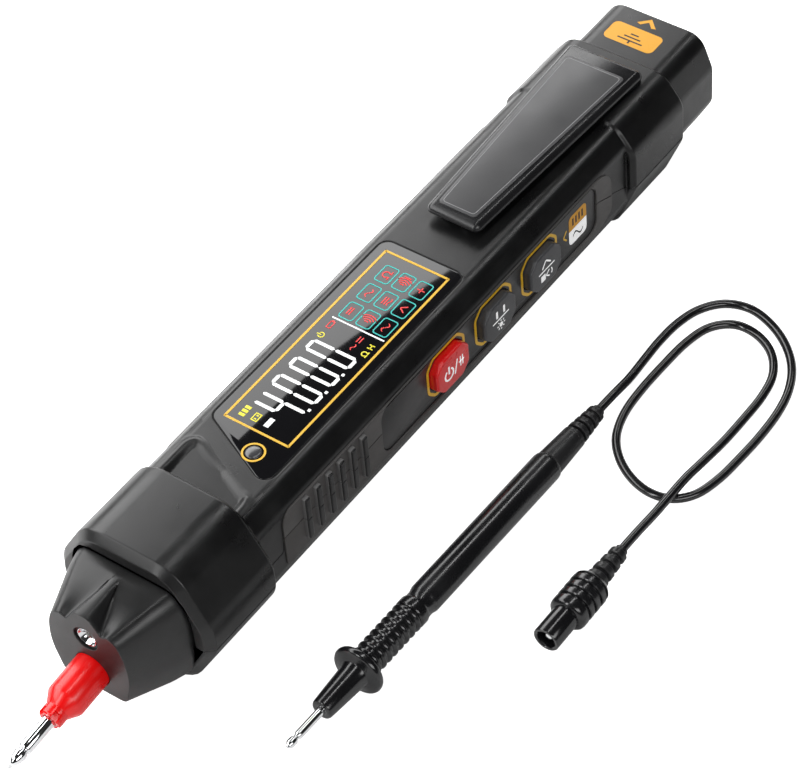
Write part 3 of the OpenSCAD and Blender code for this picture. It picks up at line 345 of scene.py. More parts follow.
def rounded(points, radii, steps=6):
    """The outline with each corner rounded to its own radius."""
    outline = []
    count = len(points)
    if not isinstance(radii, (list, tuple)):
        radii = [radii] * count
    for i in range(count):
        at = Vector(points[i])
        back = (Vector(points[i - 1]) - at).normalized()
        on = (Vector(points[(i + 1) % count]) - at).normalized()
        radius = radii[i]
        if radius <= 0:
            outline.append(tuple(at))
            continue
        half = back.angle(on) / 2
        centre = at + (back + on).normalized() * (radius / math.sin(half))
        start = at + back * (radius / math.tan(half)) - centre
        stop = at + on * (radius / math.tan(half)) - centre
        first = math.atan2(start.y, start.x)
        turn = (math.atan2(stop.y, stop.x) - first + 3 * math.pi) % (2 * math.pi) - math.pi
        for k in range(steps + 1):
            a = first + turn * k / steps
            outline.append((centre.x + radius * math.cos(a), centre.y + radius * math.sin(a)))
    return outline


def box_outline(x0, x1, y0, y1, radius=0.0):
    """A rectangle with rounded corners."""
    return rounded([(x0, y0), (x1, y0), (x1, y1), (x0, y1)], radius)


def panel_outline(shrink, radius):
    """The key panel's outline in X and Z, drawn in on every side."""
    return box_outline(panel_front + shrink, panel_rear - shrink, panel_low + shrink, panel_high - shrink,
                       radius)


def plate(name, outline, low, high, facing="up", hollow=0.0, edge=0.0, segments=2):
    """A flat moulding: its outline is filled, or left as a frame, and raised from low to high.
    Facing up it lies level, and facing near its outline stands in X and Z and low is its far face."""
    piece = added(bpy.ops.mesh.primitive_circle_add, name, vertices=len(outline), radius=0.01,
                  fill_type="NGON")
    for vertex, (a, b) in zip(piece.data.vertices, outline):
        vertex.co = Vector((a, b, low) if facing == "up" else (a, low, b)) * MM
    rise = (high - low) * MM
    edit(piece, start="SELECT")
    if hollow > 0:
        bpy.ops.mesh.select_mode(type="FACE")
        bpy.ops.mesh.inset(thickness=hollow * MM, use_even_offset=True)
        bpy.ops.mesh.delete(type="FACE")
        bpy.ops.mesh.select_all(action="SELECT")
    bpy.ops.mesh.extrude_region_move(
        TRANSFORM_OT_translate={"value": (0, 0, rise) if facing == "up" else (0, rise, 0)})
    bpy.ops.mesh.select_all(action="SELECT")
    bpy.ops.mesh.normals_make_consistent(inside=False)
    done()
    if edge > 0:
        soften(piece, edge, segments, 40)
    return piece


def cut(piece, cutter):
    """Takes the cutter's shape out of a piece and removes the cutter."""
    apply_modifier(piece, "BOOLEAN", operation="DIFFERENCE", solver="EXACT", object=cutter)
    bpy.data.objects.remove(cutter)
    return piece


def joined(name, parts):
    """Several parts joined into one piece."""
    pick(*parts)
    bpy.ops.object.join()
    piece = bpy.context.object
    piece.name = name
    piece.data.name = name
    return piece


fall_z = parting_z - (pad_rear - parting_bend) * parting_fall
upper_pad_outline = rounded(
    [(pad_front, parting_z + pad_gap), (parting_bend, parting_z + pad_gap), (pad_rear, fall_z + pad_gap),
     (pad_rear, pad_high), (pad_front, pad_high)], [0, 0, 0, 4.6, 3.2], 8)
lower_pad_outline = rounded(
    [(pad_front, pad_low), (pad_rear - 4, pad_low), (pad_rear, pad_low + 2), (pad_rear, fall_z - pad_gap),
     (parting_bend, parting_z - pad_gap), (pad_front, parting_z - pad_gap)], [0.8, 2, 1.5, 0, 0, 0], 4)
for side in (-1, 1):
    for half, outline in (("upper", upper_pad_outline), ("lower", lower_pad_outline)):
        inner = side * (barrel_side - pad_root)
        outer = side * (barrel_side + pad_out)
        pad = plate(f"{half}_pad_{'near' if side < 0 else 'far'}", outline, inner, outer, "near")
        if side < 0:
            cut(pad, plate("opening", panel_outline(-0.12, panel_round), -12, -16, "near"))
        soften(pad, 0.14, angle=40)
        dress(pad, pad_matt, "meter")

# The grip ribs are six upright bars moulded on the near side, each split by the parting line.
# They stand a little above the pad and have softly rounded edges.
rib_first = -36.316
rib_pitch = 3.55
rib_width = 1.44
rib_height = 10.6
rib_out = 1.05
rib_count = 6
rib_grey = finish("rib_satin", (0.15, 0.148, 0.148), 0.42, relief=0.4)
for half in (-1, 1):
    z0 = parting_z + half * 0.06
    z1 = parting_z + half * rib_height / 2
    bar_outline = box_outline(-rib_width / 2, rib_width / 2, min(z0, z1), max(z0, z1), 0.12)
    first_bar = plate("rib", bar_outline, 0.2 - barrel_side, -barrel_side - rib_out, "near", edge=0.22,
                      segments=3)
    bars = []
    for i in range(rib_count):
        bar = first_bar.copy()
        bar.data = first_bar.data.copy()
        bpy.context.scene.collection.objects.link(bar)
        bar.data.transform(Matrix.Translation(((rib_first + i * rib_pitch) * MM, 0, 0)))
        bars.append(bar)
    bpy.data.objects.remove(first_bar)
    ribs = joined(f"ribs_{'upper' if half > 0 else 'lower'}", bars)
    dress(ribs, rib_grey, "meter")

# The nose cone is a black moulding pushed into the collar, with a middle ridge between two
# flutes on top. The probe and the small flashlight come out of its flat face.
collar_front = -69.416
nose_face = -82.216
nose_tuck = 3.2
nose_width = 27.6
nose_face_width = 18.2
nose_base_z = 2.6
nose_top_z = 27.0
nose_face_low = 6.6
base_y_shares = [0, 0.56, 0.75, 0.89, 0.98, 1, 1, 0.98, 0.9, 0.78, 0.62, 0.09, 0.06, 0.03, 0]
base_z_shares = [0, 0, 0.03, 0.13, 0.3, 0.46, 0.62, 0.74, 0.88, 0.97, 1, 1, 1, 1, 1]
face_y_shares = [0, 0.44, 0.77, 0.89, 0.98, 1, 0.97, 0.9, 0.81, 0.69, 0.58, 0.45, 0.33, 0.18, 0]
face_z_shares = [0, 0, 0.02, 0.15, 0.31, 0.46, 0.61, 0.73, 0.81, 0.85, 0.86, 0.835, 0.9, 0.985, 1]
flute_start = 0.22
flute_points = 4
nose_black = finish("nose_satin", (0.009, 0.009, 0.0093), 0.36, grain_scale=3000, relief=0.3)


def nose_ring(t, inset):
    """The nose's section at the share t of its length, drawn in by the inset, as Y and Z."""
    count = len(base_y_shares)
    height = nose_top_z - nose_base_z
    ys = []
    zs = []
    for m in range(count):
        share = t
        if m >= count - flute_points:
            share = max(0.0, (t - flute_start) / (1 - flute_start))
        y = base_y_shares[m] * nose_width / 2 * (1 - share) + face_y_shares[m] * nose_face_width / 2 * share
        z_base = nose_base_z + base_z_shares[m] * height
        z_face = nose_face_low + face_z_shares[m] * (nose_top_z - nose_face_low)
        ys.append(y)
        zs.append(z_base * (1 - share) + z_face * share)
    middle = (nose_top_z + nose_base_z) / 2
    half = [(y * (1 - 2 * inset / nose_width), middle + (z - middle) * (1 - 2 * inset / height))
            for y, z in zip(through(ys, 4), through(zs, 4))]
    return half + [(-y, z) for y, z in half[-2:0:-1]]


def loft(name, rings):
    """A closed skin over rings of points, each ring with the same count, filled at both ends."""
    around = len(rings[0])
    piece = added(bpy.ops.mesh.primitive_grid_add, name, x_subdivisions=around,
                  y_subdivisions=len(rings) - 1, size=0.02)
    for index, vertex in enumerate(piece.data.vertices):
        row, column = divmod(index, around + 1)
        vertex.co = Vector(rings[row][column % around]) * MM
    edit(piece, start="SELECT")
    bpy.ops.mesh.remove_doubles(threshold=0.000001)
    bpy.ops.mesh.fill_holes(sides=0)
    bpy.ops.mesh.select_all(action="SELECT")
    bpy.ops.mesh.normals_make_consistent(inside=False)
    done()
    return piece


nose_stations = [(collar_front + nose_tuck, 0, 0.35)]
for i in range(15):
    t = i / 14
    nose_stations.append((collar_front - t * (collar_front - nose_face), t, 0.35 * max(0, 1 - 4 * t)))
nose = loft("nose", [[(x, y, z) for y, z in nose_ring(t, inset)] for x, t, inset in nose_stations])
probe_z = 11.6
probe_droop = math.radians(6)
holder_width = 7.7
led_z = 20.4
led_hole = 5.4


def round_bar(name, start, stop, y, z, diameter, sides=48):
    """A plain cutter along X."""
    cutter = added(
        bpy.ops.mesh.primitive_cylinder_add, name, vertices=sides, radius=diameter / 2 * MM,
        depth=(stop - start) * MM, location=((start + stop) / 2 * MM, y * MM, z * MM),
        rotation=(0, math.pi / 2, 0))
    bpy.ops.object.transform_apply(location=True, rotation=True, scale=True)
    return cutter


def shifted(x, y, z):
    """A shift by millimetres."""
    return Matrix.Translation(Vector((x, y, z)) * MM)


# Puts a piece made along X on the probe's axis, with X pointing out of the nose.
on_probe = (shifted(nose_face, 0, probe_z) @ Matrix.Rotation(-probe_droop, 4, "Y")
            @ Matrix.Scale(-1, 4, (1, 0, 0)))
holder_seat = round_bar("seat", -3, 3, 0, 0, holder_width + 0.1)
holder_seat.data.transform(on_probe)
holder_seat.data.flip_normals()
cut(nose, holder_seat)
cut(nose, round_bar("led_hole", nose_face - 1, nose_face + 3.2, 0, led_z, led_hole))
soften(nose, 0.18, angle=48, clamp=False)
dress(nose, nose_black, "meter", ["nose_cone"], crease=40)
apply_modifier(nose, "WEIGHTED_NORMAL", keep_sharp=True)

# The thumb ramp behind the collar is a shallow scoop in the top, deepest at the collar.
# Its sides blend softly into the barrel, with a raised lip round each of its two corners.
ramp_front = -49.8
ramp_start = -49.416
ramp_length = 11.9
ramp_half = 8.75
ramp_skew = 7.0
ramp_blend = 1.5
ramp_under = 0.3
ramp_margin = 2.6
ramp_side = 1.9
barrel_top = 27.6
lip_base = 0.05
lip_width = 0.95
far_lip = list(zip(through([-50, -47, -43.5, -40.6, -39.2, -39.0, -39.8, -41.0, -42.0], 6),
                   through([9.3, 9.3, 9.3, 9.2, 8.4, 7.0, 5.0, 2.6, 0.4], 6),
                   through([0.3, 0.34, 0.38, 0.42, 0.42, 0.32, 0.2, 0.08, 0.0], 6)))
near_lip = list(zip(through([-50, -48.4, -46.8, -45.6, -45.0, -44.6, -44.0, -43.4, -43.0], 6),
                    through([-9.3, -9.3, -9.2, -8.8, -7.9, -6.6, -5.0, -3.2, -1.6], 6),
                    through([0.2, 0.24, 0.28, 0.3, 0.3, 0.22, 0.14, 0.06, 0.0], 6)))


def ramp_end(y):
    """Where the ramp meets the barrel's top at this Y."""
    return ramp_start + ramp_length - ramp_skew * (ramp_half - y) / (2 * ramp_half)


def ramp_height(x, y):
    """The height of the scooped top at a place, in millimetres."""
    inside = min(ramp_half - abs(y), (ramp_end(y) - x) * 0.9)
    share = min(max(inside / ramp_blend, 0.0), 1.0)
    share = share * share * (3 - 2 * share)
    depth = max(0.0, 1 - (x - ramp_start) / ramp_length)
    lip = 0.0
    for lx, ly, rise in far_lip + near_lip:
        away = ((x - lx) ** 2 + (y - ly) ** 2) / lip_width ** 2
        lip = max(lip, (rise + lip_base) * math.exp(-away))
    return barrel_top - lip_base + lip - (depth - lip_base) * share


def ramp_place(i, j, across):
    """The X and Y of a point of the scoop, row i of 60 and column j of the ones across."""
    y = (ramp_half + ramp_side) * (1 - 2 * j / across)
    return ramp_front + (ramp_end(y) + ramp_margin - ramp_front) * i / 60, y


ramp_rings = []
for i in range(61):
    ring = []
    for j in range(73):
        x, y = ramp_place(i, j, 72)
        ring.append((x, y, ramp_height(x, y)))
    for j in range(24, -1, -1):
        x, y = ramp_place(i, j, 24)
        ring.append((x, y, barrel_top - max(0.0, 1 - (x - ramp_start) / ramp_length) - ramp_under))
    ramp_rings.append(ring)
ramp = loft("thumb_ramp", ramp_rings)
dress(ramp, shell_black, "meter", crease=50)

# The probe holder is glossy red polypropylene, turned down to a small cap with four notches.
# It is pushed into the nose and holds the needle.
holder_profile = [
    (1.45, -3), (3.85, -3), (3.85, 7.5), (3.7, 8), (2.55, 9.9), (2.4, 10.1), (2.4, 12.1), (2.2, 12.4),
    (1.45, 12.4)]
holder_red = finish("holder_red", (0.9, 0.001, 0.001), 0.26, grain_scale=1800, relief=0.08, mottle=0.05,
                    coat=0.2)


def turned(name, profile, closed=False, sides=64):
    """A round piece about the X axis, spun from its profile of radius and place along X."""
    piece = added(bpy.ops.mesh.primitive_circle_add, name, vertices=len(profile), radius=0.01,
                  fill_type="NOTHING")
    for vertex, (radius, along) in zip(piece.data.vertices, profile):
        vertex.co = Vector((along, 0, radius)) * MM
    if not closed:
        edit(piece, "EDGE")
        done()
        for edge in piece.data.edges:
            edge.select = set(edge.vertices) == {0, len(profile) - 1}
        bpy.ops.object.mode_set(mode="EDIT")
        bpy.ops.mesh.delete(type="EDGE")
        done()
    edit(piece, start="SELECT")
    bpy.ops.mesh.spin(steps=sides, angle=2 * math.pi, center=(0, 0, 0), axis=(1, 0, 0))
    bpy.ops.mesh.select_all(action="SELECT")
    bpy.ops.mesh.remove_doubles(threshold=0.000002)
    bpy.ops.mesh.normals_make_consistent(inside=False)
    done()
    return piece


def placed(piece, matrix):
    """Moves a piece's mesh and keeps its faces pointing outwards."""
    piece.data.transform(matrix)
    if matrix.determinant() < 0:
        piece.data.flip_normals()
    return piece


def fitted(piece, place, material, body, stands_for=(), soft=0.0, crease=32):
    """Rounds a piece's edges, sets it in its place and dresses it."""
    if soft > 0:
        soften(piece, soft)
    placed(piece, place)
    return dress(piece, material, body, stands_for, crease)


holder = turned("probe_holder_red", holder_profile, closed=True)
for quarter in range(4):
    notch = plate("notch", box_outline(11.0, 12.8, 1.75, 3.2, 0.1), -0.75, 0.75)
    notch.data.transform(Matrix.Rotation(math.radians(45 + 90 * quarter), 4, "X"))
    cut(holder, notch)
fitted(holder, on_probe, holder_red, "meter", ["probe_holder"], soft=0.12)

# The needle is hardened steel with bright nickel plating, necked behind its blade-shaped point.
needle_length = 24.2
needle_chrome = finish("needle_chrome", (0.86, 0.87, 0.88), 0.08, grain_scale=1200, relief=0.05, mottle=0.05,
                       spread=0.05, metallic=1.0, stretch=(0.05, 1, 1))
needle = turned("probe_needle_steel", [
    (0, 11), (1.4, 11), (1.4, 19.2), (1.3, 19.4), (1.05, 19.45), (1.05, 19.85), (1.2, 19.95), (1.38, 20.6),
    (1.1, 21.8), (0, needle_length)], sides=48)
fitted(needle, on_probe, needle_chrome, "meter", ["probe_needle"], soft=0.04, crease=40)

# The flashlight is a bright metallised reflector round a small white chip under a clear dome.
reflector_bright = finish("reflector_bright", (0.8, 0.81, 0.83), 0.1, grain_scale=1500, relief=0.05,
                          mottle=0.04, spread=0.04, metallic=1.0)
led_place = shifted(nose_face, 0, led_z)
reflector = turned("flashlight_dish", [
    (0.9, 2.2), (1.15, 1.7), (1.5, 1.1), (1.8, 0.6), (1.98, 0.4), (2.1, 0.4), (2.1, 2.9), (0.9, 2.9)],
    closed=True)
fitted(reflector, led_place, reflector_bright, "meter", ["flashlight_reflector"])
reflector_rim = turned("flashlight_rim", [(2.1, 0.85), (2.75, 0.55), (2.75, 2.9), (2.1, 2.9)], closed=True)
rim_black = finish("rim_black", (0.006, 0.006, 0.006), 0.5, relief=0.2)
fitted(reflector_rim, led_place, rim_black, "meter")
led_clear = finish("led_dome", (0.05, 0.047, 0.04), 0.08, grain_scale=900, relief=0.05, mottle=0.1, coat=0.8)
led = turned("flashlight_chip", [
    (0, 0.75), (0.4, 0.8), (0.75, 0.98), (0.98, 1.3), (1.05, 1.7), (1.1, 2.0), (1.1, 3.6), (0, 3.6)],
    sides=40)
fitted(led, led_place, led_clear, "meter", ["flashlight_led"])

# The display lens is a black acrylic cover let into the barrel, with a dark gap line round it.
# Behind it everything is black, and the gold lines are printed on its face.
face_z = barrel_top
window_x0 = -31.016
window_x1 = 19.784
window_half = 7.3
lens_half = 9.8
lens_near = window_x0 - 1.6
lens_far = window_x1 + 2.9
lens_skew = 8.9
lens_round = 2.4
lamp_x = window_x0 - 4.6
lamp_y = -2.8
ink_lift = 0.045
lens_gloss = finish("lens_acrylic", (0.006, 0.006, 0.007), 0.06, grain_scale=400, relief=0.02, mottle=0.3,
                    spread=0.03)
gap_dark = finish("gap_shadow", (0.003, 0.003, 0.003), 0.9, grain_scale=1500, mottle=0.2)


def lens_outline(shrink):
    """The lens seen from above, drawn in on every side."""
    side = lens_half - shrink
    near = lens_near + shrink
    far = lens_far - shrink
    corners = [(near - lens_skew, -side), (far, -side), (far, side), (near, side)]
    return rounded(corners, lens_round - shrink, 8)


lens = plate("display_cover", lens_outline(0.22), face_z - 0.9, face_z, edge=0.16, segments=3)
dress(lens, lens_gloss, "meter", ["display_lens"])
lens_gap = plate("display_gap", lens_outline(-0.06), face_z - 0.5, face_z - 0.12, hollow=0.6)
dress(lens_gap, gap_dark, "meter")
# The gold print is given a faint glow: painted light, since the ink itself gives off none.
gold_ink_painted_glow = finish("gold_ink_painted_glow", (0.74, 0.43, 0.02), 0.36, grain_scale=2200, relief=0.1, mottle=0.12, glow=0.06)
frame_edge = 0.35
frame_outline = box_outline(window_x0 - frame_edge, window_x1 + frame_edge, -window_half - frame_edge,
                            window_half + frame_edge, 0.2)
gold_frame = plate("display_frame", frame_outline, face_z, face_z + ink_lift, hollow=0.5)
dress(gold_frame, gold_ink_painted_glow, "meter")

# The indicator lamp is a small grey translucent dome in a printed gold ring beside the display.
lamp_grey = finish("lamp_dome", (0.045, 0.045, 0.05), 0.24, grain_scale=900, relief=0.06, mottle=0.1,
                   coat=0.6)
upright = shifted(lamp_x, lamp_y, 0) @ Matrix.Rotation(-math.pi / 2, 4, "Y")
lamp = turned("lamp_dome", [(0, 26.7), (1.62, 26.7), (1.62, 27.62), (1.5, 27.74), (1.1, 27.88), (0.55, 27.94),
                            (0, 27.95)], sides=48)
fitted(lamp, upright, lamp_grey, "meter", ["indicator_lamp"], crease=50)


def circle_outline(x, y, radius, count=40, start=0.0, sweep=2 * math.pi):
    """Points round a circle or along an arc."""
    last = count if sweep >= 2 * math.pi else count - 1
    return [(x + radius * math.cos(start + sweep * i / last), y + radius * math.sin(start + sweep * i / last))
            for i in range(count)]


ring_outline = circle_outline(lamp_x, lamp_y, 2.35, 48)
lamp_ring = plate("lamp_ring", ring_outline, face_z, face_z + ink_lift, hollow=0.42)
dress(lamp_ring, gold_ink_painted_glow, "meter")

# The display shows four white seven-segment figures with their points and a minus sign.
# The segments glow through the black cover, so they are thin bright shapes on its face.
figure_x = [-25.75, -20.35, -15.05, -9.8]
figure_lit = ["bcfg", "abcdef", "abcdef", "abcdef"]
figure_width = 3.35
figure_top = 5.3
figure_bottom = -5.4
stroke = 0.74


def segment_colour(name, colour, mottle=0.05, glow=0.2):
    """A colour that the display shows, lit a little from behind."""
    return finish(name, colour, 0.4, grain_scale=1500, relief=0.05, mottle=mottle, glow=glow)


show_white = segment_colour("segment_white", (0.86, 0.88, 0.88), mottle=0.04, glow=0.25)


def stroke_outline(x0, y0, x1, y1, width, point=0.5):
    """A straight stroke with its ends cut to a point."""
    run = Vector((x1 - x0, y1 - y0)).normalized()
    side = Vector((-run.y, run.x)) * width / 2
    start = Vector((x0, y0))
    stop = Vector((x1, y1))
    corners = [start, start + run * width * point - side, stop - run * width * point - side, stop,
               stop - run * width * point + side, start + run * width * point + side]
    return [tuple(c) for c in corners]


def prints(name, outlines, low, material, body="meter", facing="up", thick=ink_lift, hollows=()):
    """Printed marks joined into one thin piece. The hollow ones come with their line's width."""
    parts = [plate("mark", o, low, low + thick, facing) for o in outlines]
    parts += [plate("mark", o, low, low + thick, facing, hollow=width) for o, width in hollows]
    piece = joined(name, parts)
    return dress(piece, material, body)


def moved(outlines, x, y):
    """Outlines drawn about their own middle, set at a place."""
    return [[(x + u, y + v) for u, v in outline] for outline in outlines]


figures = []
middle_y = (figure_top + figure_bottom) / 2
for x0, lit in zip(figure_x, figure_lit):
    left = x0 + stroke / 2
    right = x0 + figure_width - stroke / 2
    top = figure_top - stroke / 2
    low = figure_bottom + stroke / 2
    ends = {
        "a": (left, top, right, top), "b": (right, top, right, middle_y), "c": (right, middle_y, right, low),
        "d": (left, low, right, low), "e": (left, middle_y, left, low), "f": (left, top, left, middle_y),
        "g": (left, middle_y, right, middle_y)}
    for letter in lit:
        x_a, y_a, x_b, y_b = ends[letter]
        run = Vector((x_b - x_a, y_b - y_a)).normalized() * 0.09
        figures.append(stroke_outline(x_a + run.x, y_a + run.y, x_b - run.x, y_b - run.y, stroke))
for x in figure_x[1:]:
    figures.append(box_outline(x - 1.75, x - 1.1, figure_bottom - 0.1, figure_bottom + 0.5, 0.12))
figures.append(box_outline(-29.4, -27.1, -1.35, -0.25, 0.08))
prints("display_figures", figures, face_z, show_white)
prints("display_divider", [box_outline(-0.22, 0.12, -6.6, 5.6, 0.08)], face_z, show_white)

# Small coloured marks on the display: a cell sign, a power sign, a wave and an ohm-like arch.
# They are plain signs, printed in yellow and red.
show_yellow = segment_colour("segment_yellow", (0.75, 0.68, 0.03))
show_red = segment_colour("segment_red", (0.72, 0.03, 0.03))


def arc_strip(x, y, radius, width, start, sweep, count=14):
    """A curved stroke of even width, its angles in degrees."""
    a = math.radians(start)
    s = math.radians(sweep)
    outer = circle_outline(x, y, radius + width / 2, count, a, s)
    inner = circle_outline(x, y, radius - width / 2, count, a, s)
    return outer + inner[::-1]


def wave_strip(x, y, length, height, width, count=16):
    """One full wave of even width."""
    tops = []
    lows = []
    for i in range(count + 1):
        u = i / count
        a = x - length / 2 + length * u
        b = y + height / 2 * math.sin(2 * math.pi * u)
        tops.append((a, b + width / 2))
        lows.append((a, b - width / 2))
    return tops + lows[::-1]


cell_sign = [box_outline(-29.0, -28.7, 1.85, 2.3), box_outline(-28.15, -27.85, 1.85, 2.3)]
prints("yellow_signs", cell_sign + [
    box_outline(-29.6, -28.9, 4.2, 5.5, 0.1), box_outline(-28.6, -27.9, 4.2, 5.5, 0.1),
    box_outline(-27.6, -26.9, 4.2, 5.5, 0.1), arc_strip(-5.0, 4.6, 0.62, 0.22, 125, 290),
    box_outline(-5.11, -4.89, 4.6, 5.55), arc_strip(-4.7, -5.35, 0.55, 0.24, -50, 280),
    box_outline(-5.5, -4.75, -6.1, -5.86), box_outline(-4.65, -3.9, -6.1, -5.86),
    box_outline(-3.2, -2.96, -6.05, -4.8), box_outline(-2.3, -2.06, -6.05, -4.8),
    box_outline(-3.2, -2.06, -5.55, -5.31)], face_z, show_yellow,
       hollows=[(box_outline(-29.45, -27.4, 1.35, 2.8, 0.15), 0.24)])
prints("red_signs", [
    box_outline(-0.95, -0.7, 4.35, 4.95), wave_strip(-4.4, -2.5, 1.7, 0.55, 0.26),
    box_outline(-3.0, -1.4, -2.3, -2.05), box_outline(-3.0, -1.4, -2.95, -2.7)], face_z, show_red,
       hollows=[(box_outline(-2.9, -0.95, 4.1, 5.2, 0.12), 0.2)])

# Nine function marks in rounded squares fill the far end of the display. The squares are teal
# and the plain signs in them are red.
show_teal = segment_colour("segment_teal", (0.02, 0.42, 0.38), glow=0.25)
square_x = [3.0, 8.8, 14.6]
square_y = [3.4, -0.65, -4.7]
square_long = 4.7
square_wide = 3.35
square = box_outline(-square_long / 2, square_long / 2, -square_wide / 2, square_wide / 2, 0.7)
line_pair = [box_outline(-1.0, 1.0, 0.35, 0.62), box_outline(-1.0, 1.0, -0.2, 0.07)]
sound_arcs = [arc_strip(-1.1, 0, 0.55 + 0.55 * k, 0.24, -50, 100) for k in range(4)]
one_wave = [wave_strip(0, 0, 2.4, 0.95, 0.3)]
peak = [stroke_outline(-0.9, -0.6, 0, 0.7, 0.28), stroke_outline(0, 0.7, 0.9, -0.6, 0.28)]
arch = [arc_strip(0, 0.1, 0.75, 0.28, -55, 290), box_outline(-1.2, -0.3, -0.85, -0.6),
        box_outline(0.3, 1.2, -0.85, -0.6)]
cross = [box_outline(-0.12, 0.12, -0.85, 0.85), stroke_outline(-0.8, 0, 0.8, 0, 0.26)]
square_signs = [line_pair, sound_arcs, one_wave,
                one_wave, line_pair + [wave_strip(0, -0.75, 2.0, 0.4, 0.24)], peak,
                arch, sound_arcs + [box_outline(1.3, 1.55, -0.8, 0.8)], cross]
squares = []
signs = []
for i, x in enumerate(square_x):
    for j, y in enumerate(square_y):
        squares.append((moved([square], x, y)[0], 0.24))
        signs += moved(square_signs[3 * i + j], x, y)
prints("function_squares", [], face_z, show_teal, hollows=squares)
prints("function_signs", signs, face_z, show_red)

# The key panel is a dark grey inlay with three rubber-like moulded keys standing in it.
# A dark line surrounds it, and each key has a printed gold outline.
panel_face = -barrel_side
panel_grey = finish("panel_satin", (0.032, 0.032, 0.033), 0.38, grain_scale=2400, mottle=0.12)
key_x = [8.784, 24.684, 40.584]
key_z = 17.5
key_long = 10.6
key_high = 8.6
key_corner = 0.26 * key_high
key_fit = 0.12
key_face = panel_face - 1.8


def key_outline(x, grow):
    """The eight-sided outline of a key, slightly rounded."""
    a = key_long / 2 + grow
    b = key_high / 2 + grow
    c = key_corner
    corners = [(c - a, -b), (a - c, -b), (a, c - b), (a, b - c), (a - c, b), (c - a, b), (-a, b - c),
               (-a, c - b)]
    return moved([rounded(corners, 1.2 + 0.7 * grow, 4)], x, key_z)[0]


panel = plate("key_panel", panel_outline(0.1, panel_round - 0.1), panel_face + 0.6, panel_face + 0.02, "near")
for x in key_x:
    cut(panel, plate("key_hole", key_outline(x, key_fit), panel_face + 2, panel_face - 2, "near"))
soften(panel, 0.12, angle=40)
dress(panel, panel_grey, "meter", ["side_panel"])
panel_line = plate("panel_gap", panel_outline(-0.1, panel_round), panel_face + 0.5, panel_face + 0.06, "near",
                   hollow=0.5)
dress(panel_line, gap_dark, "meter")
for x, name in zip(key_x, ("power", "hold", "select")):
    outline = plate(f"{name}_outline", key_outline(x, 1.0), panel_face + 0.02, panel_face - 0.03, "near",
                    hollow=0.66)
    dress(outline, gold_ink_painted_glow, "meter")

# The keys are moulded caps with crowned faces and printed white signs. The power key is red
# and the other two are dark grey, and each one presses straight in.
key_red = finish("key_red", (0.85, 0.006, 0.008), 0.3, grain_scale=2200, relief=0.15, mottle=0.08, coat=0.3)
key_dark = finish("key_dark", (0.055, 0.056, 0.06), 0.36, grain_scale=2400, relief=0.3, mottle=0.12)
# The white signs on the keys and the badge are given a glow: painted light, since plain print gives off none.
sign_white_painted_glow = finish("sign_white_painted_glow", (0.82, 0.82, 0.82), 0.5, grain_scale=2400, relief=0.1, mottle=0.05,
                    glow=0.4)
key_crown = 0.55


def bevel_where(piece, chosen, width, segments=3, profile=0.5, clamp=True):
    """Rounds the edges whose two ends are both chosen by their place, in millimetres."""
    edit(piece, "EDGE")
    done()
    for edge in piece.data.edges:
        edge.select = all(chosen(piece.data.vertices[v].co / MM) for v in edge.vertices)
    bpy.ops.object.mode_set(mode="EDIT")
    bpy.ops.mesh.bevel(offset=width * MM, segments=segments, profile=profile, affect="EDGES",
                       clamp_overlap=clamp)
    done()


for x, name, cap_finish, slot in ((key_x[0], "power_key", key_red, "red_plastic"),
                                  (key_x[1], "hold_key", key_dark, "key_grey"),
                                  (key_x[2], "select_key", key_dark, "key_grey")):
    cap = plate(f"{name}_cap", key_outline(x, 0), panel_face + 2.3, key_face, "near")
    bevel_where(cap, lambda p: abs(p.y - key_face) < 0.001, key_crown, 4, 0.6, clamp=False)
    dress(cap, cap_finish, name, [name], crease=40)


def key_signs(name, key, x, outlines):
    """White signs printed on a key, drawn about its middle."""
    prints(name, moved(outlines, x, key_z), key_face - 0.035, sign_white_painted_glow, key, "near", 0.04)


key_line = box_outline(-2.7, 2.7, -0.15, 0.15)
lamp_mark = [circle_outline(0, -1.75, 0.55, 20)]
for i in range(8):
    across = math.cos(math.radians(45 * i))
    up = math.sin(math.radians(45 * i))
    lamp_mark.append(stroke_outline(0.8 * across, 0.8 * up - 1.75, 1.35 * across, 1.35 * up - 1.75, 0.24))
key_signs("power_signs", "power_key", key_x[0], [
    arc_strip(-1.5, -0.4, 1.35, 0.42, 120, 300), box_outline(-1.72, -1.28, -0.3, 1.7, 0.1),
    stroke_outline(0.3, -1.9, 1.3, 1.6, 0.34), box_outline(1.7, 3.4, -0.1, 0.2),
    box_outline(2.1, 2.4, -1.2, 1.3), box_outline(2.8, 3.1, -1.2, 1.3)])
key_signs("hold_signs", "hold_key", key_x[1], [
    key_line, box_outline(-1.5, -0.9, 0.7, 2.5, 0.1), box_outline(0.9, 1.5, 0.7, 2.5, 0.1)] + lamp_mark)
key_signs("select_signs", "select_key", key_x[2], [
    key_line, stroke_outline(-1.5, 0.7, -0.2, 2.4, 0.36), stroke_outline(-0.2, 2.4, 1.5, 0.9, 0.36),
    box_outline(-2.0, -0.5, -2.5, -0.9, 0.2), stroke_outline(-0.3, -1.7, 0.9, -0.8, 0.3),
    stroke_outline(-0.3, -1.7, 0.9, -2.6, 0.3), arc_strip(0.7, -1.7, 1.1, 0.28, -40, 80)])

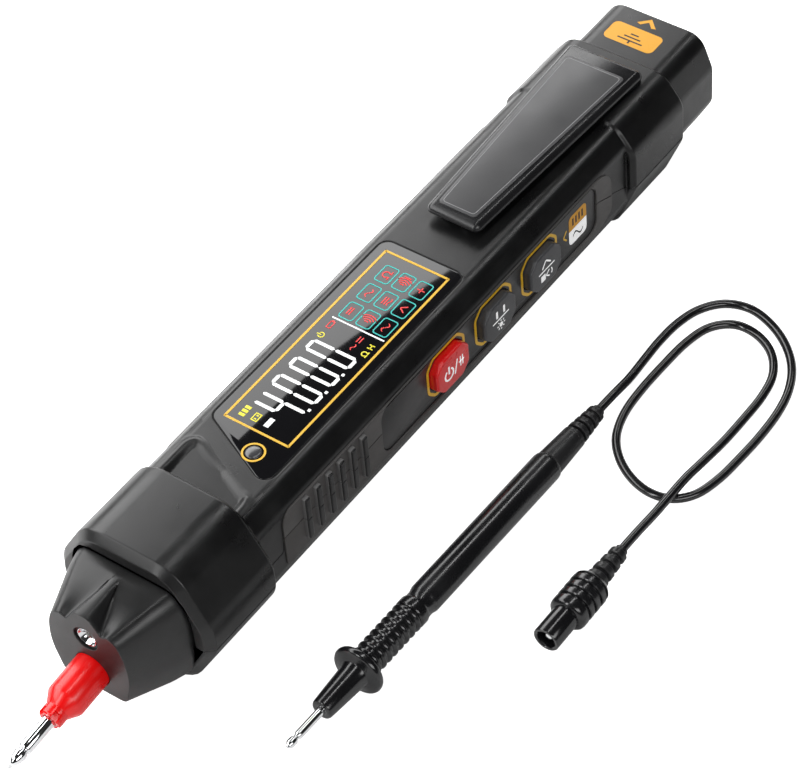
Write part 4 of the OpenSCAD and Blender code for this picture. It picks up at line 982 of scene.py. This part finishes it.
# Beside the last key the panel carries a small printed badge in orange and white.
# It holds four plain bars and a wave.
badge_orange = finish("badge_orange", (0.74, 0.34, 0.004), 0.4, grain_scale=2400, relief=0.1, mottle=0.06)
ink_black = finish("ink_black", (0.01, 0.01, 0.01), 0.5, grain_scale=2400, relief=0.1, mottle=0.2)
badge_x0 = 51.2
badge_x1 = 57.4
badge_z0 = 13.6
badge_z1 = 21.2
badge_middle = (badge_z0 + badge_z1) / 2
badge_top = rounded([(badge_x0, badge_middle + 0.05), (badge_x1, badge_middle + 0.05), (badge_x1, badge_z1),
                     (badge_x0, badge_z1)], [0, 0, 1.1, 1.1])
badge_low = rounded([(badge_x0, badge_z0), (badge_x1, badge_z0), (badge_x1, badge_middle - 0.05),
                     (badge_x0, badge_middle - 0.05)], [1.1, 1.1, 0, 0])
badge_face = panel_face - 0.01
badge_bars = [box_outline(badge_x0 + 1.2 + 1.1 * k, badge_x0 + 1.7 + 1.1 * k, badge_middle + 1.0,
                          badge_middle + 2.9) for k in range(4)]
badge_wave = wave_strip((badge_x0 + badge_x1) / 2, badge_middle - 2.0, 3.6, 1.5, 0.45)
badge_arrow = [stroke_outline(badge_x0 - 2, badge_middle, badge_x0 - 0.8, badge_middle + side * 1.4, 0.4)
               for side in (1, -1)]
for name, outlines, low, ink, slot in (
        ("badge_orange", [badge_top], badge_face, badge_orange, "brass"),
        ("badge_white", [badge_low], badge_face, sign_white_painted_glow, "white_plastic"),
        ("badge_bars", badge_bars + [badge_wave], badge_face - 0.02, ink_black, "shell"),
        ("badge_arrow", badge_arrow, badge_face, gold_ink_painted_glow, "brass")):
    prints(name, outlines, low, ink, facing="near", thick=0.03)

# The clip is moulded in one piece from tough black nylon, hooked into the rear block by its foot.
# Its broad bevelled frame surrounds a flat satin plate with a fine light border.
clip_x0 = 31.484
clip_x1 = 86.984
clip_low = 29.4
clip_high = 31.4
clip_tip = 6.3
clip_root = 9.0
block_top = 28.4
foot_low = 25.1
clip_black = finish("clip_gloss", (0.012, 0.012, 0.013), 0.26, relief=0.2, mottle=0.2)
plate_grey = finish("clip_plate", (0.055, 0.055, 0.057), 0.42, grain_scale=3200, relief=0.35, mottle=0.12)
border_grey = finish("clip_border", (0.22, 0.22, 0.225), 0.4, relief=0.1)


def clip_outline(shrink, radius, rear=0.0):
    """The clip from above, wider at its root, drawn in on every side."""
    front = clip_x0 + shrink
    back = clip_x1 - shrink - rear
    return rounded([(front, shrink - clip_tip), (back, shrink - clip_root), (back, clip_root - shrink),
                    (front, clip_tip - shrink)], radius, 5)


arm = plate("clip_frame", clip_outline(0, 1.5), clip_low, clip_high - 0.25)
bevel_where(arm, lambda p: p.z > clip_high - 0.26, 1.3, 4, 0.4)
bevel_where(arm, lambda p: p.z < clip_low + 0.01, 0.25, 2)
shoulder_outline = rounded([(clip_x1 - 5, -8.4), (clip_x1 - 0.1, -8.9), (clip_x1 - 0.1, 8.9),
                            (clip_x1 - 5, 8.4)], [0.3, 1.4, 1.4, 0.3])
shoulder = plate("shoulder", shoulder_outline, block_top + 0.1, clip_low + 0.3)
foot = plate("foot", box_outline(clip_x1 - 6.6, clip_x1 - 0.6, -5.5, 5.5), foot_low, clip_low + 0.2)
hook = plate("hook", box_outline(clip_x1 - 2.6, clip_x1 - 0.6, -6.5, 6.5), foot_low, foot_low + 1.2)
teeth = [plate("tooth", box_outline(clip_x0 + 1.2, clip_x0 + 2.4, side * 2.2 - 0.8, side * 2.2 + 0.8, 0.2),
               27.75, clip_low + 0.2, edge=0.12) for side in (-1, 1)]
clip = joined("clip_frame", [arm, shoulder, foot, hook] + teeth)
dress(clip, clip_black, "clip", ["clip"], crease=36)
clip_plate = plate("clip_plate", clip_outline(1.9, 0.9, 2.4), clip_high - 0.5, clip_high - 0.02, edge=0.14)
dress(clip_plate, plate_grey, "clip")
clip_line = plate("clip_border", clip_outline(2.5, 0.8, 2.4), clip_high - 0.1, clip_high - 0.002, hollow=0.14)
dress(clip_line, border_grey, "clip")

# The tail closes the barrel and holds the socket for the lead. Its top carries an orange pill
# with a plain earth sign in it and a small orange chevron that points to the socket.
tail_top = 27.2
tail_end = 106.284
prints("tail_pill", [box_outline(95.3, 101.0, -4.9, 7.0, 1.3)], tail_top, badge_orange)
prints("tail_sign", [box_outline(96.6, 96.95, -1.9, 4.0), box_outline(97.6, 97.95, -0.9, 3.0),
                     box_outline(98.6, 98.95, 0.1, 2.0), box_outline(95.9, 96.7, 0.85, 1.25)],
       tail_top + ink_lift * 0.6, ink_black)
chevron = [(102.3, 2.0), (102.6, 2.9), (104.8, 0.65), (102.6, -1.6), (102.3, -0.7), (103.7, 0.65)]
prints("tail_chevron", [chevron], tail_top, badge_orange)

# The socket is a black insulator pressed into the tail, with a brass contact sleeve inside it.
socket_z = 15.0
socket_black = finish("socket_black", (0.012, 0.012, 0.013), 0.32, relief=0.2)
socket_place = shifted(0, 0, socket_z)
socket = turned("socket_ring", [
    (2.85, tail_end), (3.05, tail_end), (3.3, tail_end - 0.25), (3.9, tail_end - 0.25), (4.15, tail_end),
    (4.5, tail_end), (4.5, tail_end - 13), (1.67, tail_end - 13), (1.67, tail_end - 8), (2.85, tail_end - 8)],
    closed=True)
fitted(socket, socket_place, socket_black, "meter", ["com_insulator"])
sleeve_brass = finish("sleeve_brass", (0.72, 0.5, 0.2), 0.22, grain_scale=1800, relief=0.08, mottle=0.08,
                      metallic=1.0)
sleeve = turned("socket_sleeve", [
    (1.03, tail_end - 1), (1.3, tail_end - 1), (1.65, tail_end - 1.284), (1.65, tail_end - 17),
    (0, tail_end - 17), (0, tail_end - 15.2), (1.03, tail_end - 15.2)], closed=True)
fitted(sleeve, socket_place, sleeve_brass, "meter", ["com_sleeve"])

# The battery cover closes the underside with one screw. It carries six shallow ribs for the thumb
# and a rounded step round its edge.
cover_black = finish("cover_satin", (0.024, 0.024, 0.025), 0.42, relief=0.4)
cover = moulded_copy("battery_door", "battery_cover", 0.18)
dress(cover, cover_black, "battery_cover", ["battery_cover"])
apply_modifier(cover, "WEIGHTED_NORMAL", keep_sharp=True)
ridge_first = 20
ridge_pitch = 2.2
ridges = []
for k in range(6):
    x = ridge_first + ridge_pitch * k
    ridges.append(plate("ridge", box_outline(x, x + ridge_pitch / 2, -6.5, 6.5, 0.5), 2.95, 3.3, edge=0.12))
ridges = joined("battery_door_ribs", ridges)
dress(ridges, cover_black, "battery_cover")
screw_plated = finish("screw_plated", (0.5, 0.51, 0.53), 0.3, grain_scale=1600, relief=0.15, metallic=1.0)


def lasting(material, *nodes):
    """Gives CAD nodes that stay in view, or inside, their finish."""
    for node in nodes:
        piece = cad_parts[node]
        piece.data.materials.clear()
        piece.data.materials.append(material)


lasting(screw_plated, "battery_cover_screw", "housing_screws")

# Inside are the main board and key board, the cells with their springs and plates, the buzzer and
# the display's panel and tray. They are seen only when the cover is off.
board_green = finish("board_green", (0.02, 0.12, 0.05), 0.35, grain_scale=1800, relief=0.2, coat=0.4)
cell_foil = finish("cell_foil", (0.42, 0.26, 0.09), 0.3, grain_scale=1400, relief=0.1, metallic=0.6)
spring_steel = finish("spring_steel", (0.6, 0.61, 0.62), 0.25, grain_scale=1600, relief=0.1, metallic=1.0)
tray_white = finish("tray_white", (0.75, 0.75, 0.73), 0.5, grain_scale=1800, relief=0.15, mottle=0.05)
panel_glass = finish("panel_glass", (0.01, 0.012, 0.015), 0.15, grain_scale=900, relief=0.03)
lasting(board_green, "main_board", "key_board", "flashlight_board")
lasting(cell_foil, "aaa_cell_left", "aaa_cell_right")
lasting(spring_steel, "cell_springs", "cell_contacts", "tactile_switches")
lasting(sleeve_brass, "com_strip", "probe_terminal", "sensing_strip")
lasting(tray_white, "backlight_tray")
lasting(panel_glass, "lcd_panel")
lasting(socket_black, "buzzer")

# The test lead's grip is one glossy black moulding: a cone in front of a round finger guard,
# then close ribs, a long smooth barrel and a slotted strain relief. The needle is plated steel.
lead_pitch = math.atan(2.1 / 59.9)
lead_yaw = math.radians(-0.2)
lead_length = 99.7
grip_start = 22.6
grip_end = 36.6
on_lead = (shifted(25.7, -37.4, 2.617) @ Matrix.Rotation(lead_yaw, 4, "Z")
           @ Matrix.Rotation(lead_pitch, 4, "Y") @ shifted(-lead_length, 0, 0))
lead_gloss = finish("lead_gloss", (0.007, 0.007, 0.008), 0.24, grain_scale=2200, relief=0.1, mottle=0.2,
                    coat=0.35)
lead_grip_gloss = finish("lead_grip", (0.009, 0.009, 0.01), 0.26, grain_scale=2200, relief=0.12, mottle=0.2,
                         coat=0.3)
lead_steel = turned("lead_needle_steel", [
    (0, 0), (0.35, 0.1), (0.9, 1.0), (0.86, 2.1), (0.55, 2.5), (0.55, 3.0), (0.85, 3.4), (0.85, 30), (0, 30)],
    sides=32)
fitted(lead_steel, on_lead, needle_chrome, "test_lead", ["lead_needle"], 0.06, 40)
guard = turned("lead_cone_and_guard", [
    (0.87, 10), (1.7, 10), (2.05, 10.15), (2.2, 10.5), (2.45, 14), (2.75, 18.6), (3.0, 20.1), (4.6, 20.45),
    (5.1, 20.7), (5.3, 21.1), (5.3, 21.5), (5.15, 21.9), (4.7, 22.25), (3.6, 22.5), (2.9, grip_start),
    (0.87, grip_start)], closed=True)
fitted(guard, on_lead, lead_gloss, "test_lead", ["lead_guard"], 0.1, 40)
grip_ribs = 8
rib_step = (grip_end - grip_start) / grip_ribs
grip_profile = [(0.87, grip_start)]
for i in range(grip_ribs):
    s = grip_start + i * rib_step
    grip_profile += [(2.7, s), (2.7, s + rib_step * 0.3), (3.02, s + rib_step * 0.42),
                     (3.2, s + rib_step * 0.58), (3.2, s + rib_step * 0.74), (3.02, s + rib_step * 0.9)]
grip_profile += [(2.75, grip_end), (0.87, grip_end)]
grip = turned("lead_ribbed_grip", grip_profile, closed=True)
fitted(grip, on_lead, lead_grip_gloss, "test_lead", ["lead_grip"], crease=50)
barrel = turned("lead_barrel_smooth", [
    (0.87, grip_end), (2.9, grip_end), (3.2, 37.0), (3.2, 38.6), (3.05, 39.0), (2.9, 39.3), (2.9, 40.6),
    (3.05, 41.2),
    (3.2, 41.8), (3.2, 81.4), (3.1, 82.0), (2.85, 82.5), (0, 82.5), (0, 34.1), (0.87, 34.1)])
fitted(barrel, on_lead, lead_gloss, "test_lead", ["lead_barrel"], 0.1, 40)


def slotted_sleeve(name, start, stop, first, last, count, core):
    """A strain relief: a row of soft rings that get smaller, joined by a thinner core."""
    step = (stop - start) / count
    profile = [(0, start)]
    for i in range(count):
        s = start + i * step
        r = first + (last - first) * i / count
        ring_end = s + step * 0.62
        profile += [(r - 0.18, s), (r, s + 0.18), (r - 0.05, ring_end - 0.18), (r - 0.23, ring_end),
                    (core, ring_end), (core, s + step)]
    profile += [(0, stop)]
    return turned(name, profile, sides=48)


relief_soft = finish("relief_rubber", (0.015, 0.015, 0.016), 0.36, mottle=0.2)
relief_cone = turned("relief_cone", [(0, 82.5), (2.75, 82.5), (2.85, 82.8), (2.5, 90.2), (0, 90.2)])
relief_rings = slotted_sleeve("relief_rings", 90.2, 99.7, 2.5, 1.65, 5, 1.26)
relief = joined("lead_relief", [relief_cone, relief_rings])
fitted(relief, on_lead, relief_soft, "test_lead", ["lead_strain_relief"], crease=40)

# The plug at the cord's other end has a ribbed body, a thin shroud round its steel pin, and its
# own slotted strain relief. It lies on the bench beside the lead.
plug_place = shifted(-27.8, -61, 3.9)
shroud = turned("plug_sleeve", [(1.95, 0.15), (2.1, 0), (2.55, 0), (2.7, 0.2), (2.7, 6.5), (0, 6.5), (0, 5.5),
                                (1.95, 5.5)], closed=True)
fitted(shroud, plug_place, lead_gloss, "test_lead", ["plug_shroud"], crease=40)
pin = turned("plug_pin_steel", [(0, 0.8), (0.55, 0.85), (0.85, 1.05), (1, 1.4), (1, 5.5), (0, 5.5)], sides=32)
fitted(pin, plug_place, needle_chrome, "test_lead", ["plug_pin"], crease=40)
plug_profile = [(0, 6.5), (2.8, 6.5), (3.4, 6.7), (3.75, 7.1)]
for i in range(4):
    s = 7.5 + i * 1.925
    plug_profile += [(3.85, s + 0.15), (3.85, s + 1.1), (3.7, s + 1.25), (3.35, s + 1.3), (3.35, s + 1.85),
                     (3.7, s + 1.9)]
plug_profile += [(3.4, 15.6), (2.85, 16.2), (0, 16.2)]
plug = turned("plug_grip", plug_profile)
fitted(plug, plug_place, lead_grip_gloss, "test_lead", ["plug_body"], crease=40)
plug_relief = slotted_sleeve("plug_relief", 16.2, 25.4, 2.31, 1.65, 4, 1.26)
fitted(plug_relief, plug_place, relief_soft, "test_lead", ["plug_strain_relief"], crease=40)

low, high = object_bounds()
